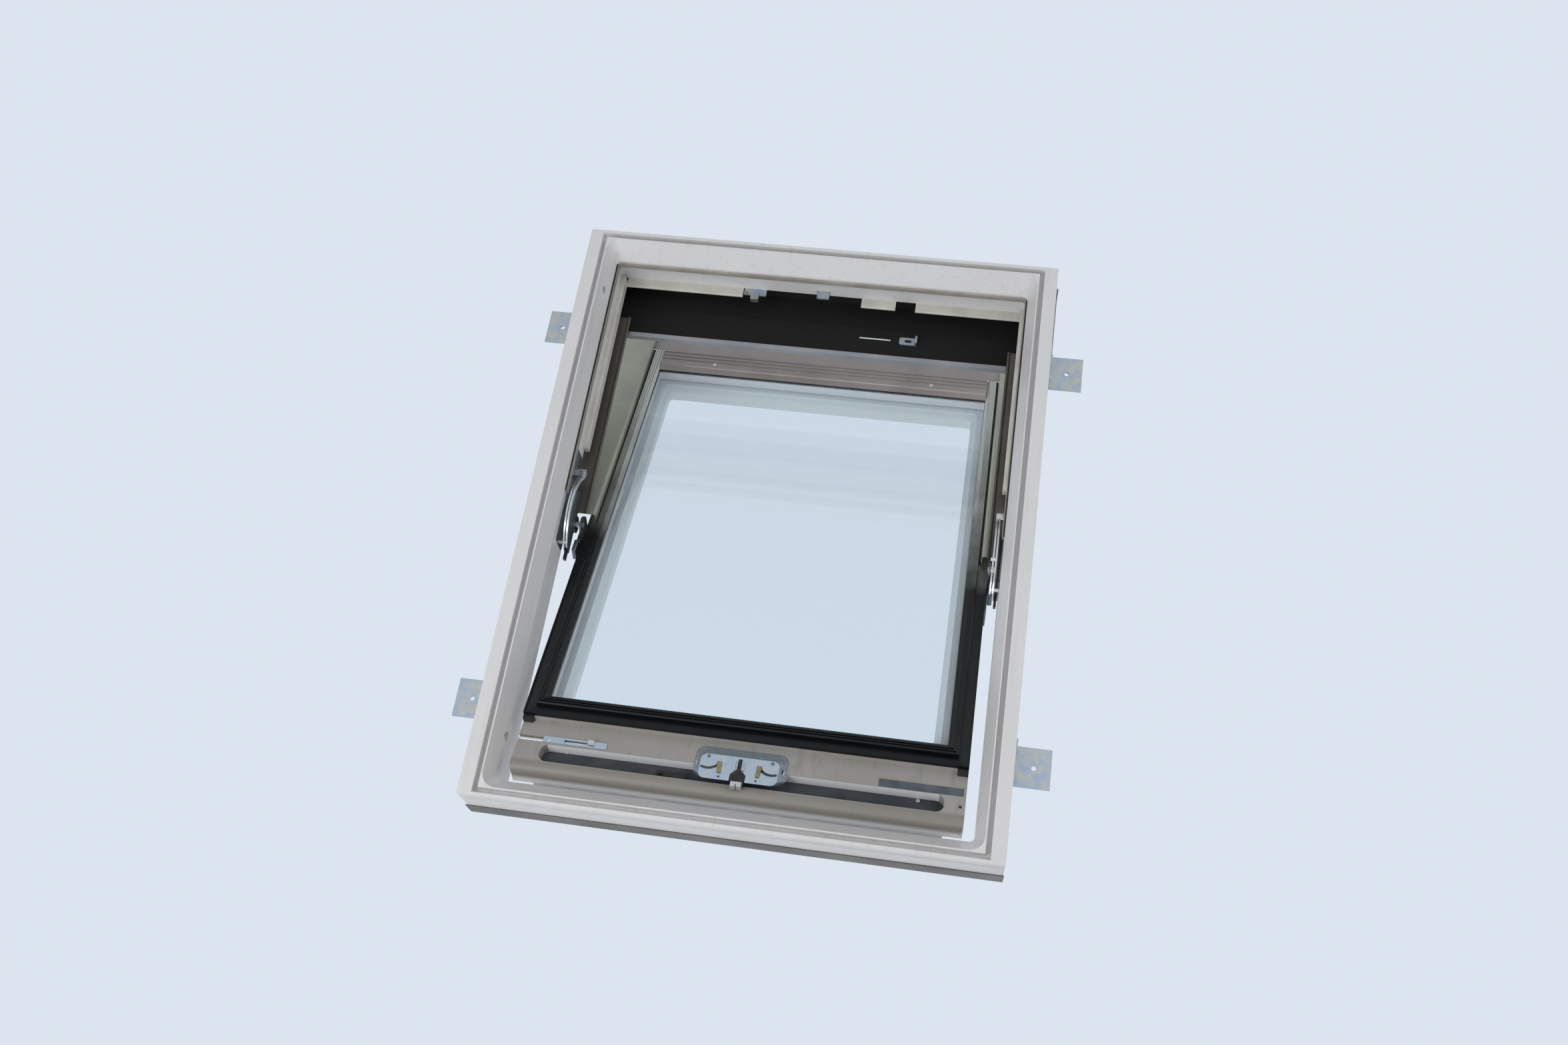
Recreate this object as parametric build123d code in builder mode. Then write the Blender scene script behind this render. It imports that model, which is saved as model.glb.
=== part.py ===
from build123d import *
import os
from math import cos, radians, sin

os.makedirs("parts", exist_ok=True)

# Centre-pivot roof window, lying flat, with the sash swung nearly right round on its pins.
# X runs along the pivot axis, Y up the slope and Z outwards. The origin is the middle of the
# frame, in the plane where the fixing brackets sit on the roof battens.

# Frame casing, with heights measured from its room face
frame_width = 780.0
frame_length = 980.0
casing_height = 95.0
casing_edge = 3.0
jamb_width = 44.0
head_width = 35.5
head_rebate = 6.5
lip_height = 40.0
lip_land = 4.0
jamb_bevel = 13.0
head_bevel = 20.0
opening_corner = 9.0
lining_groove_land = 2.0
lining_groove_width = 8.0
lining_groove_depth = 12.0
collar_groove_height = 14.0
collar_groove_width = 6.0
collar_groove_depth = 5.0

# Fixing brackets
bracket_height = 62.0
bracket_reach = 55.0
bracket_drop = 37.0
bracket_length = 60.0
bracket_steel = 3.0
bracket_inset = 160.0
batten_hole_out = 30.0
batten_hole_r = 3.5
bracket_screw_r = 2.4
bracket_screw_depth = 12.0
bracket_screw_spread = 36.0
bracket_screw_height = 44.0
bracket_head_r = 4.5
bracket_head_height = 2.5

# Pivot, and how far the sash stays short of a half turn in its cleaning position
pivot_height = 125.0
pin_r = 5.0
running_gap = 0.05
seat_gap = 0.3
reversed_tilt = 18.8
vent_angle = 9.5

# Sash outline, from the pivot axis
side_gap = 18.0
top_gap = 10.0
bottom_gap = 18.0
top_rail = 87.0
bottom_rim = 24.0
sash_corner = 6.0

# Sash depths, from the pivot axis towards the room side of the closed window
profile_face = 14.0
pane_face = 22.0
rim_face = 26.0
rail_face = 36.0
sash_depth = 80.0
pane = 4.0
cavity = 16.0

# Glazing
profile_width = 33.0
profile_channel = 16.0
channel_depth = 22.0
glass_cover = 12.0
glass_play = 2.0
gasket_height = 3.0
gasket_width = 8.0
spacer_width = 7.0
spacer_inset = 6.0
bead = 11.0
bead_slope = 10.0
sight_corner = 8.0
rail_round = 12.0
room_round = 14.0
bead_round = 6.0

# Rubber and stop strips on the frame
rubber_height = 10.0
rubber_width = 4.0
rubber_end = 20.0
strip_thickness = 5.0
strip_reach = 10.0
strip_seat = 14.0
jamb_strip_width = 9.0
jamb_strip_height = 22.0
jamb_strip_end = 121.0
jamb_strip_bevel = 8.0
lock_notch = (-70.0, 134.0)
arm_notch = (-162.0, -128.0)

# Sheet-metal covers on the frame
sheet = 1.5
cover_height = 137.0
cover_skirt = 70.0
cover_start = 18.0
cover_inset = 1.0
flange_width = 24.0
flange_height = 120.0
flange_roll = 2.5
flange_end = 395.0
trim_width = 19.5
trim_start = -40.0
sill_skirt = 60.0
sill_lip = 2.0
hood_length = 132.0
hood_overhang = 6.0
hood_rear = 8.0
hood_height = 142.0
hood_sheet = 2.0
hood_fold = 14.0
hood_hem = 8.0
hood_side_skirt = 100.0
hood_back_skirt = 70.0
liner_foot = 12.0
liner_step = 50.0

# Hinge on the frame
pocket_depth = 4.0
pocket_low = 52.0
pocket_ends = (-62.0, 106.0)
eye_r = 14.0
case_r = 56.0
case_top = 8.0
case_sheet = 1.5
insert_width = 4.0
insert_inset = 2.0
stop_tab_r = 69.0
stop_tab_height = 8.0
track_r = 78.0
track_thickness = 6.0
track_strip = 2.5
track_start = -140.0
track_end = -33.0
track_gap = 1.7
boss_r = 7.0
pin_head_r = 9.0
pin_head_height = 3.5

# Hinge on the sash
leaf = 3.0
leaf_length = 120.0
leaf_depths = (30.0, 72.0)
leaf_corner = 8.0
knuckle_width = 6.5
knuckle_ends = (-20.0, 14.0)
knuckle_depths = (20.0, 42.0)

# Covers on the lower half of the sash
sash_cover_start = 30.0
sash_cover_overhang = 10.0
sash_cover_face = 3.0
cover_over_sash = 12.5
sash_cover_leg = 21.7
short_leg = 13.5
sash_cover_skirt = 26.0
sash_cover_round = 5.0
seal_face = 17.0
bottom_leg = 40.0
profile_overhang = 27.0

# Ventilation recess and lock in the top rail
recess_margin = 34.0
recess_width = 30.0
recess_depth = 22.0
recess_corner = 12.0
recess_x = -4.0
recess_from_end = 32.0
filter_thickness = 4.0
lock_x = -4.0
lock_from_end = 52.0
lock_length = 136.0
lock_width = 54.0
lock_corner = 14.0
face_corner = 10.0
lock_height = 12.0
lock_wall = 2.0
lock_slope = 11.0
face_shift = -15.0
face_width = 42.0
lever_offset = 46.5
lever_from_middle = 1.5
lever_r = 20.0
lever_thickness = 3.0
lever_rest = -150.0
lever_travel = 78.0
lever_slot = 4.2
lever_slack = 3.0
rivet_r = 1.6
hub_r = 3.0
tab_length = 18.0
tab_width = 7.5
tab_thickness = 2.0
tab_taper = 1.0
tab_lean = 1.5
post_r = 1.9
latch_width = 21.0
latch_reach = 44.5
latch_stem = 4.2
latch_top = 1.3
latch_shoulder = -16.0
latch_hip = -25.0
latch_gap = 0.8
jaw_length = 8.5
jaw_width = 16.0
jaw_depth = 8.0
jaw_slit = 2.0
latch_proud = 2.0
peep_hole_r = 1.6
peep_hole_offset = 27.0
peep_hole_from_middle = -31.0
end_slot = 7.0
end_slot_from_middle = -7.0
end_slot_height = 4.0
spring_r = 1.3
spring_offset = 6.5
spring_length = 16.5
keeper_width = 21.0
keeper_reach = 11.0
keeper_thickness = 2.5
keeper_drop = 10.0

# Barrel bolt
bolt_from_end = 54.5
bolt_depth = 41.0
bolt_r = 4.0
bolt_length = 130.0
bolt_travel = 36.0
knob_inset = 110.0
knob_size = 8.5
neck_size = 4.4
bolt_plate_inset = 38.0
bolt_plate_length = 95.0
bolt_plate_width = 10.6
bolt_plate_sheet = 1.5
bush_r = 7.0
bush_bore_r = 4.6
bush_recess = 6.0
bush_length = 16.0

# Control bar with its ventilation flap, on the room side of the sash
bar_margin = 28.0
bar_from_end = 67.0
bar_rise = 8.0
bar_knuckle_r = 5.0
bar_pin_r = 3.0
flap_from_end = 10.0
flap_thickness = 3.0
flap_lift = 0.5
grip_height = 20.0
bar_bracket_width = 6.0

# Places that follow from these sizes
half_width = frame_width / 2
half_length = frame_length / 2
room_z = -bracket_height
bracket_spread = frame_length - 2 * bracket_inset
lip_z = room_z + lip_height
casing_z = room_z + casing_height
pivot_z = room_z + pivot_height
lip_x = half_width - jamb_width
lip_y = half_length - head_width
wall_y = lip_y + head_rebate
sash_x = lip_x - side_gap
sash_top = wall_y - top_gap
sash_bottom = wall_y - bottom_gap
glazed_top = sash_top - top_rail
bottom_sight = sash_bottom - bottom_rim
rebate_back = pane_face + 2 * pane + cavity
sight_x = sash_x - profile_width
top_sight = glazed_top - profile_width
glass_x = sight_x + glass_cover
glass_top = top_sight + glass_cover
glass_bottom = bottom_sight + glass_cover
profile_foot = pane_face - gasket_height
cover_z = room_z + cover_height
cover_x = lip_x + cover_inset
skirt_x = half_width + cover_inset
cover_end = half_length - 2 * cover_inset
flange_z = room_z + flange_height
hood_back = half_length + hood_rear
hood_front = hood_back - hood_length
hood_side = half_width + hood_overhang
liner_x = lip_x - cover_inset
sash_cover_end = half_length + sash_cover_overhang
sash_cover_edge = half_width - cover_inset
leg_x = sash_x - cover_over_sash
side_profile_end = sash_bottom + profile_overhang
recess_length = 2 * (sash_x - recess_margin)
recess_y = recess_from_end - sash_top
lock_y = lock_from_end - sash_top
face_y = lock_y + face_shift
lever_y = lock_y + lever_from_middle
bolt_y = bolt_from_end - sash_top
bolt_tail = sash_x - bolt_length
knob_x = sash_x - knob_inset
bolt_plate_end = sash_x - bolt_plate_inset
bolt_plate_ends = (bolt_plate_end - bolt_plate_length, bolt_plate_end)
bar_y = bar_from_end - sash_top
bar_length = 2 * (sash_x - bar_margin)
flap_end = flap_from_end - sash_top
tilt = radians(reversed_tilt)

sash_plane = Plane(origin=(0, 0, pivot_z), x_dir=(1, 0, 0), z_dir=(0, -sin(tilt), cos(tilt)))


def across_sash(x):
    """Plane square to the pivot axis: its x runs to the sash's bottom end, its y to the room side."""
    return Plane(origin=(x, 0, pivot_z), x_dir=(0, cos(tilt), sin(tilt)), z_dir=(1, 0, 0))


def along_sash(y):
    """Plane square to the sash's length, with the pivot axis as its x. Extrusions run to the top end."""
    middle = sash_plane.from_local_coords((0, y, 0))
    return Plane(origin=middle, x_dir=(1, 0, 0), z_dir=(0, -cos(tilt), -sin(tilt)))


def at_pivot(x):
    """Plane square to the pivot axis, with Y and Z of the frame."""
    return Plane(origin=(x, 0, pivot_z), x_dir=(0, 1, 0), z_dir=(1, 0, 0))


def turned(y, depth, turn):
    """Y and Z of a point of the sash after the sash has turned by so many degrees from its rest."""
    angle = tilt + radians(turn)
    return (y * cos(angle) - depth * sin(angle), pivot_z + y * sin(angle) + depth * cos(angle))


def block(xs, ys, zs, mode=Mode.ADD):
    """Block between two values each way, in the current workplane."""
    with Locations(((xs[0] + xs[1]) / 2, (ys[0] + ys[1]) / 2, (zs[0] + zs[1]) / 2)):
        Box(xs[1] - xs[0], ys[1] - ys[0], zs[1] - zs[0], mode=mode)


def area(xs, ys, mode=Mode.ADD):
    """Rectangle between two values each way, in the current sketch."""
    with Locations(((xs[0] + xs[1]) / 2, (ys[0] + ys[1]) / 2)):
        Rectangle(xs[1] - xs[0], ys[1] - ys[0], mode=mode)


def rounded_area(xs, ys, radius, mode=Mode.ADD):
    """Rectangle with round corners between two values each way, in the current sketch."""
    with Locations(((xs[0] + xs[1]) / 2, (ys[0] + ys[1]) / 2)):
        RectangleRounded(xs[1] - xs[0], ys[1] - ys[0], radius, mode=mode)


def write(piece, name):
    """Label a finished piece and write it to its own file."""
    piece.part.label = name
    export_step(piece.part, f"parts/{name}.step")


def write_pair(piece, name):
    """Write the piece of the +X jamb as the left one, and its mirror image as the right one."""
    write(piece, f"{name}_left")
    with BuildPart() as twin:
        mirror(piece.part, about=Plane.YZ)
    write(twin, f"{name}_right")


# Frame casing: a moulded ring with a bevelled opening towards the room
bevel_z = lip_z - lip_land
closed_turn = 180 - reversed_tilt
bolt_seats = [turned(bolt_y, bolt_depth, 0), turned(bolt_y, bolt_depth, closed_turn - vent_angle)]
bolt_shut = turned(bolt_y, bolt_depth, closed_turn)
bush_start = lip_x + bush_recess
bush_end = bush_start + bush_length
screw_places = [
    (side * bracket_spread / 2 + step * bracket_screw_spread / 2, room_z + bracket_screw_height)
    for side in (1, -1)
    for step in (1, -1)
]
with BuildPart() as casing:
    with BuildSketch(Plane.XY.offset(room_z)):
        RectangleRounded(frame_width, frame_length, casing_edge)
    extrude(amount=casing_height)
    with BuildSketch(Plane.XY.offset(room_z)):
        RectangleRounded(
            2 * (lip_x + jamb_bevel), 2 * (lip_y + head_bevel), opening_corner + jamb_bevel
        )
    with BuildSketch(Plane.XY.offset(bevel_z)):
        RectangleRounded(2 * lip_x, 2 * lip_y, opening_corner)
    loft(mode=Mode.SUBTRACT)
    with BuildSketch(Plane.XY.offset(bevel_z)):
        RectangleRounded(2 * lip_x, 2 * lip_y, opening_corner)
    extrude(amount=lip_land, mode=Mode.SUBTRACT)
    with BuildSketch(Plane.XY.offset(lip_z)):
        RectangleRounded(2 * lip_x, 2 * wall_y, opening_corner)
    extrude(amount=casing_height - lip_height, mode=Mode.SUBTRACT)
    groove_x = lip_x + jamb_bevel + lining_groove_land
    groove_y = lip_y + head_bevel + lining_groove_land
    with BuildSketch(Plane.XY.offset(room_z)):
        Rectangle(2 * (groove_x + lining_groove_width), 2 * (groove_y + lining_groove_width))
        Rectangle(2 * groove_x, 2 * groove_y, mode=Mode.SUBTRACT)
    extrude(amount=lining_groove_depth, mode=Mode.SUBTRACT)
    with BuildSketch(Plane.XY.offset(room_z + collar_groove_height)):
        Rectangle(frame_width + casing_edge, frame_length + casing_edge)
        Rectangle(
            frame_width - 2 * collar_groove_depth,
            frame_length - 2 * collar_groove_depth,
            mode=Mode.SUBTRACT,
        )
    extrude(amount=collar_groove_width, mode=Mode.SUBTRACT)
    # Pockets for the hinge plates, cut through both jambs in one pass
    with BuildSketch(Plane.YZ.offset(-lip_x - pocket_depth)):
        rounded_area(pocket_ends, (room_z + pocket_low, casing_z + eye_r), casing_edge)
    extrude(amount=2 * (lip_x + pocket_depth), mode=Mode.SUBTRACT)
    # Bush holes for the barrel bolt, and a plain hole where it faces the shut window
    with BuildSketch(Plane.YZ.offset(lip_x - bush_recess)):
        with Locations(*bolt_seats):
            Circle(bush_r)
        with Locations(bolt_shut):
            Circle(bush_bore_r)
    extrude(amount=bush_end - lip_x + bush_recess, mode=Mode.SUBTRACT)
    for side in (1, -1):
        with BuildSketch(Plane.YZ.offset(side * half_width)):
            with Locations(*screw_places):
                Circle(bracket_screw_r)
        extrude(amount=-side * bracket_screw_depth, mode=Mode.SUBTRACT)
write(casing, "casing")

# Fixing brackets: steel angles that rest on the battens, one hole for a batten screw in each
bracket_edge = half_width + bracket_reach
with BuildPart() as fixing_brackets:
    for end in (1, -1):
        with BuildSketch(Plane.XZ.offset(-end * bracket_spread / 2)):
            Polygon(
                (half_width, -bracket_drop),
                (half_width, bracket_steel),
                (bracket_edge, bracket_steel),
                (bracket_edge, 0),
                (half_width + bracket_steel, 0),
                (half_width + bracket_steel, -bracket_drop),
                align=None,
            )
        extrude(amount=bracket_length / 2, both=True)
    with BuildSketch(Plane.XY):
        with Locations(*[(half_width + batten_hole_out, end * bracket_spread / 2) for end in (1, -1)]):
            Circle(batten_hole_r)
    extrude(amount=bracket_steel, mode=Mode.SUBTRACT)
    with BuildSketch(Plane.YZ.offset(half_width)):
        with Locations(*screw_places):
            Circle(bracket_screw_r)
    extrude(amount=bracket_steel, mode=Mode.SUBTRACT)
    mirror(about=Plane.YZ)
write(fixing_brackets, "fixing_brackets")

# Their screws, pan heads with a plain shank in the casing
with BuildPart() as bracket_screws:
    with BuildSketch(Plane.YZ.offset(half_width + bracket_steel)):
        with Locations(*screw_places):
            Circle(bracket_head_r)
    extrude(amount=bracket_head_height)
    fillet(bracket_screws.edges().group_by(Axis.X)[-1], 1.2)
    with BuildSketch(Plane.YZ.offset(half_width + bracket_steel)):
        with Locations(*screw_places):
            Circle(bracket_screw_r)
    extrude(amount=-bracket_steel - bracket_screw_depth)
    mirror(about=Plane.YZ)
write(bracket_screws, "bracket_screws")

# Bushes for the bolt in the left jamb: one for cleaning, one for airing
with BuildPart() as bolt_bushes:
    with BuildSketch(Plane.YZ.offset(bush_start)):
        with Locations(*bolt_seats):
            Circle(bush_r)
            Circle(bush_bore_r, mode=Mode.SUBTRACT)
    extrude(amount=bush_length)
write(bolt_bushes, "bolt_bushes")

# Rubber strip round the head and down both jambs, ending above the hinges
with BuildPart() as head_gasket:
    with BuildSketch(Plane.XY.offset(lip_z)):
        RectangleRounded(2 * lip_x, 2 * wall_y, opening_corner)
        RectangleRounded(
            2 * (lip_x - rubber_width),
            2 * (lip_y - rubber_width + 0.5),
            opening_corner - rubber_width,
            mode=Mode.SUBTRACT,
        )
        area((-half_width, half_width), (-half_length, rubber_end), mode=Mode.SUBTRACT)
    extrude(amount=rubber_height)
    inner_edges = [
        edge
        for edge in head_gasket.edges().group_by(Axis.Z)[-1]
        if abs(edge.center().X) < lip_x - rubber_width / 2 and edge.center().Y < lip_y
    ]
    inner_edges = [edge for edge in inner_edges if edge.length > rubber_width + 1]
    fillet(inner_edges, rubber_width / 2)
write(head_gasket, "head_gasket")

# Stop strip along the head, notched for the lock case and for the hood bracket
strip_y = (lip_y - strip_reach, wall_y + strip_seat)
strip_x = lip_x - jamb_strip_width
with BuildPart() as head_strip:
    with BuildSketch(Plane.XY.offset(casing_z)):
        area((lock_notch[1], strip_x), strip_y)
        area((arm_notch[1], lock_notch[0]), strip_y)
        area((-strip_x, arm_notch[0]), strip_y)
    extrude(amount=strip_thickness)
    fillet(head_strip.edges().filter_by(Axis.X).group_by(Axis.Y)[0], strip_thickness * 0.4)
write(head_strip, "head_strip")

# Stop strips on the upper half of the jambs, with a slanted lower end
jamb_strip_low = casing_z + strip_thickness - jamb_strip_height
with BuildPart() as jamb_strip:
    with BuildSketch(Plane.YZ.offset(strip_x)):
        Polygon(
            (jamb_strip_end + jamb_strip_bevel, jamb_strip_low),
            (wall_y - opening_corner, jamb_strip_low),
            (wall_y - opening_corner, jamb_strip_low + jamb_strip_height),
            (jamb_strip_end, jamb_strip_low + jamb_strip_height),
            (jamb_strip_end, jamb_strip_low + jamb_strip_bevel),
            align=None,
        )
    extrude(amount=jamb_strip_width)
    inner_face = jamb_strip.faces().sort_by(Axis.X)[0]
    fillet(inner_face.edges().filter_by(Axis.Y), jamb_strip_width / 3)
with BuildPart() as jamb_strip_right:
    mirror(jamb_strip.part, about=Plane.YZ)
write(jamb_strip_right, "jamb_strip_right")

# The bolt passes through the left one when it is slid out with the window shut
with BuildPart() as jamb_strip_left:
    add(jamb_strip.part)
    with BuildSketch(Plane.YZ.offset(strip_x)):
        with Locations(bolt_shut):
            Circle(bush_bore_r)
    extrude(amount=jamb_strip_width, mode=Mode.SUBTRACT)
write(jamb_strip_left, "jamb_strip_left")

# Metal covers on the upper half of the jambs: an upturned channel closed at its lower end, with a
# flange over the gap beside the sash that ends in a rolled edge
flange_x = cover_x - flange_width
with BuildPart() as side_cover:
    with BuildSketch(Plane.XZ.offset(-cover_end)):
        Polygon(
            (cover_x, casing_z),
            (cover_x, cover_z),
            (skirt_x + sheet, cover_z),
            (skirt_x + sheet, room_z + cover_skirt),
            (skirt_x, room_z + cover_skirt),
            (skirt_x, cover_z - sheet),
            (cover_x + sheet, cover_z - sheet),
            (cover_x + sheet, casing_z),
            align=None,
        )
    extrude(amount=cover_end - cover_start)
    with BuildSketch(Plane.XZ.offset(-cover_start - sheet)):
        area((cover_x + sheet, skirt_x), (casing_z, cover_z - sheet))
    extrude(amount=sheet)
    top_edges = side_cover.edges().filter_by(Axis.Y).group_by(Axis.Z)[-1]
    fillet(top_edges, sheet * 0.9)
    fillet(side_cover.edges().filter_by(Axis.X).group_by(Axis.Z)[-1].sort_by(Axis.Y)[0], sheet * 0.9)
    with BuildSketch(Plane.XZ.offset(-flange_end)):
        area((flange_x + flange_roll, cover_x), (flange_z - sheet, flange_z))
        with Locations((flange_x + flange_roll, flange_z - flange_roll)):
            Circle(flange_roll)
    extrude(amount=flange_end - cover_start)
    roll_ends = side_cover.edges().filter_by(GeomType.CIRCLE).filter_by(
        lambda edge: abs(edge.radius - flange_roll) < 0.01
    )
    chamfer(roll_ends.group_by(Axis.Y)[0], flange_roll / 2)
write_pair(side_cover, "side_cover")

# Metal trims on the lower half of the jambs and on the sill
trim_z = casing_z + sheet
sill_y = -half_length - sheet
with BuildPart() as lower_trim:
    with BuildSketch(Plane.XZ.offset(-trim_start)):
        Polygon(
            (half_width + sheet - trim_width, casing_z),
            (half_width + sheet - trim_width, trim_z),
            (half_width + sheet, trim_z),
            (half_width + sheet, room_z + cover_skirt),
            (half_width, room_z + cover_skirt),
            (half_width, casing_z),
            align=None,
        )
    extrude(amount=wall_y + trim_start)
write_pair(lower_trim, "lower_trim")

with BuildPart() as sill_cover:
    with BuildSketch(Plane.YZ.offset(-half_width - sheet)):
        Polygon(
            (-wall_y - seat_gap, casing_z),
            (-wall_y - seat_gap, trim_z + sill_lip),
            (-wall_y - seat_gap - sheet, trim_z + sill_lip),
            (-wall_y - seat_gap - sheet, trim_z),
            (sill_y, trim_z),
            (sill_y, room_z + sill_skirt),
            (-half_length, room_z + sill_skirt),
            (-half_length, casing_z),
            align=None,
        )
    extrude(amount=frame_width + 2 * sheet)
write(sill_cover, "sill_cover")

# Hood over the head: folded sheet with a hemmed front lip between the side covers
hood_z = room_z + hood_height
hood_under = hood_z - hood_sheet
hood_in = hood_front + hood_sheet
hood_slope = 4.0
with BuildPart() as hood:
    with BuildSketch(Plane.YZ.offset(-hood_side)):
        Polygon(
            (hood_front, room_z + hood_side_skirt),
            (hood_front, hood_z - hood_slope),
            (hood_front + hood_slope, hood_z),
            (hood_back - hood_slope, hood_z),
            (hood_back, hood_z - hood_slope),
            (hood_back, room_z + hood_back_skirt),
            (hood_back - hood_sheet, room_z + hood_back_skirt),
            (hood_back - hood_sheet, room_z + hood_side_skirt),
            align=None,
        )
    extrude(amount=2 * hood_side)
    with BuildSketch(Plane.YZ.offset(hood_sheet - hood_side)):
        Polygon(
            (hood_front, room_z + hood_side_skirt),
            (hood_front, cover_z + seat_gap),
            (hood_in, cover_z + seat_gap),
            (hood_in, hood_under),
            (hood_back - hood_sheet, hood_under),
            (hood_back - hood_sheet, room_z + hood_side_skirt),
            align=None,
        )
    extrude(amount=2 * (hood_side - hood_sheet), mode=Mode.SUBTRACT)
    with BuildSketch(Plane.YZ.offset(-liner_x)):
        Polygon(
            (hood_front, cover_z + seat_gap),
            (hood_in, cover_z + seat_gap),
            (hood_in, hood_z - hood_fold + hood_sheet),
            (hood_front + hood_hem, hood_z - hood_fold + hood_sheet),
            (hood_front + hood_hem, hood_z - hood_fold),
            (hood_front, hood_z - hood_fold),
            align=None,
        )
    extrude(amount=2 * liner_x)
write(hood, "hood")

# Black stepped lining between the casing head and the hood
step_z = hood_z - 11.0
foot_y = half_length - 2.0
with BuildPart() as head_liner:
    with BuildSketch(Plane.YZ.offset(-liner_x)):
        Polygon(
            (hood_in, hood_z - hood_fold + hood_sheet),
            (hood_in, hood_under),
            (foot_y, hood_under),
            (foot_y, casing_z),
            (foot_y - liner_foot, casing_z),
            (foot_y - liner_foot, hood_under - hood_sheet - sheet),
            (hood_in + hood_hem + 2 * liner_step, hood_under - hood_sheet - sheet),
            (hood_in + hood_hem + liner_step, step_z + sheet),
            (hood_in + hood_hem + liner_step, step_z),
            (hood_in + hood_hem + sheet, step_z),
            (hood_in + hood_hem + sheet, hood_z - hood_fold + hood_sheet),
            align=None,
        )
    extrude(amount=2 * liner_x)
write(head_liner, "head_liner")

# Keeper on the head: an angle whose tongue lies just over the rail, under the nose of the shut latch
keeper_z = pivot_z - rail_face + 1
with BuildPart() as keeper:
    with BuildSketch(Plane.YZ.offset(lock_x - keeper_width / 2)):
        Polygon(
            (wall_y, keeper_z + keeper_thickness - keeper_drop),
            (wall_y, keeper_z + keeper_thickness),
            (wall_y - keeper_reach, keeper_z + keeper_thickness),
            (wall_y - keeper_reach, keeper_z),
            (wall_y - keeper_thickness, keeper_z),
            (wall_y - keeper_thickness, keeper_z + keeper_thickness - keeper_drop),
            align=None,
        )
    extrude(amount=keeper_width)
    fillet(keeper.edges().filter_by(Axis.Z).group_by(Axis.Y)[0], 2)
write(keeper, "keeper")

# Catch plate at the end of the lock notch, with a nub that centres the sash
plate_x = (lock_notch[1] - 40, lock_notch[1] - 2)
nub_x = (lock_notch[1] - 28, lock_notch[1] - 14)
nub_reach = 10.0
with BuildPart() as catch_plate:
    block(plate_x, (lip_y - 6, wall_y + strip_seat), (casing_z, casing_z + bracket_steel))
    block(nub_x, (lip_y - 6 - nub_reach, lip_y), (casing_z - 3, casing_z + 6))
    fillet(catch_plate.edges().filter_by(Axis.Z).group_by(Axis.Y)[0], 2)
write(catch_plate, "catch_plate")

# Slotted bracket and spring rod under the hood
arm_x = (arm_notch[0] - 8, arm_notch[1] - 12)
arm_y = (hood_front + 32, hood_front + 46)
with BuildPart() as hood_arm:
    with BuildSketch(Plane.XY.offset(step_z)):
        rounded_area(arm_x, arm_y, 3)
        with Locations((sum(arm_x) / 2, sum(arm_y) / 2)):
            SlotOverall(12, 5, mode=Mode.SUBTRACT)
    extrude(amount=-bracket_steel)
    with BuildSketch(Plane.XY.offset(step_z)):
        area((arm_x[0], arm_x[0] + bracket_steel), arm_y)
    extrude(amount=-12)
write(hood_arm, "hood_arm")

rod_r = 1.5
rod_length = 53.0
with BuildPart() as spring_rod:
    with BuildSketch(Plane.YZ.offset(arm_notch[1] + 3)):
        with Locations((sum(arm_y) / 2, step_z - rod_r)):
            Circle(rod_r)
    extrude(amount=rod_length)
write(spring_rod, "spring_rod")

# Hinge plate let into the jamb, with the eye that carries the pivot pin
plate_low = room_z + pocket_low + seat_gap
plate_ends = (pocket_ends[0] + seat_gap, pocket_ends[1] - seat_gap)
with BuildPart() as hinge_plate:
    with BuildSketch(Plane.YZ.offset(lip_x)):
        rounded_area(plate_ends, (plate_low, casing_z - seat_gap), casing_edge)
        area((-eye_r, eye_r), (casing_z - 2 * eye_r, pivot_z))
        with Locations((0, pivot_z)):
            Circle(eye_r)
            Circle(pin_r, mode=Mode.SUBTRACT)
    extrude(amount=pocket_depth)
write_pair(hinge_plate, "hinge_plate")


def case_outline(radius):
    """Round-bottomed outline about the pivot, with an eye round the pin."""
    Circle(radius)
    area((-radius, radius), (-case_top, radius), mode=Mode.SUBTRACT)
    Circle(eye_r)


# Hinge case: two steel plates with a black insert between them, ending in the stop tab
case_x = lip_x - 2 * case_sheet - insert_width
with BuildPart() as hinge_case:
    for start in (case_x, lip_x - case_sheet):
        with BuildSketch(at_pivot(start)):
            case_outline(case_r)
            Circle(pin_r, mode=Mode.SUBTRACT)
        extrude(amount=case_sheet)
write_pair(hinge_case, "hinge_case")

with BuildPart() as hinge_insert:
    with BuildSketch(at_pivot(case_x + case_sheet)):
        case_outline(case_r - insert_inset)
        area((-stop_tab_r, -case_r / 2), (-case_top - 1 - stop_tab_height, -case_top - 1))
        Circle(pin_r, mode=Mode.SUBTRACT)
    extrude(amount=insert_width)
write_pair(hinge_insert, "hinge_insert")

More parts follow.
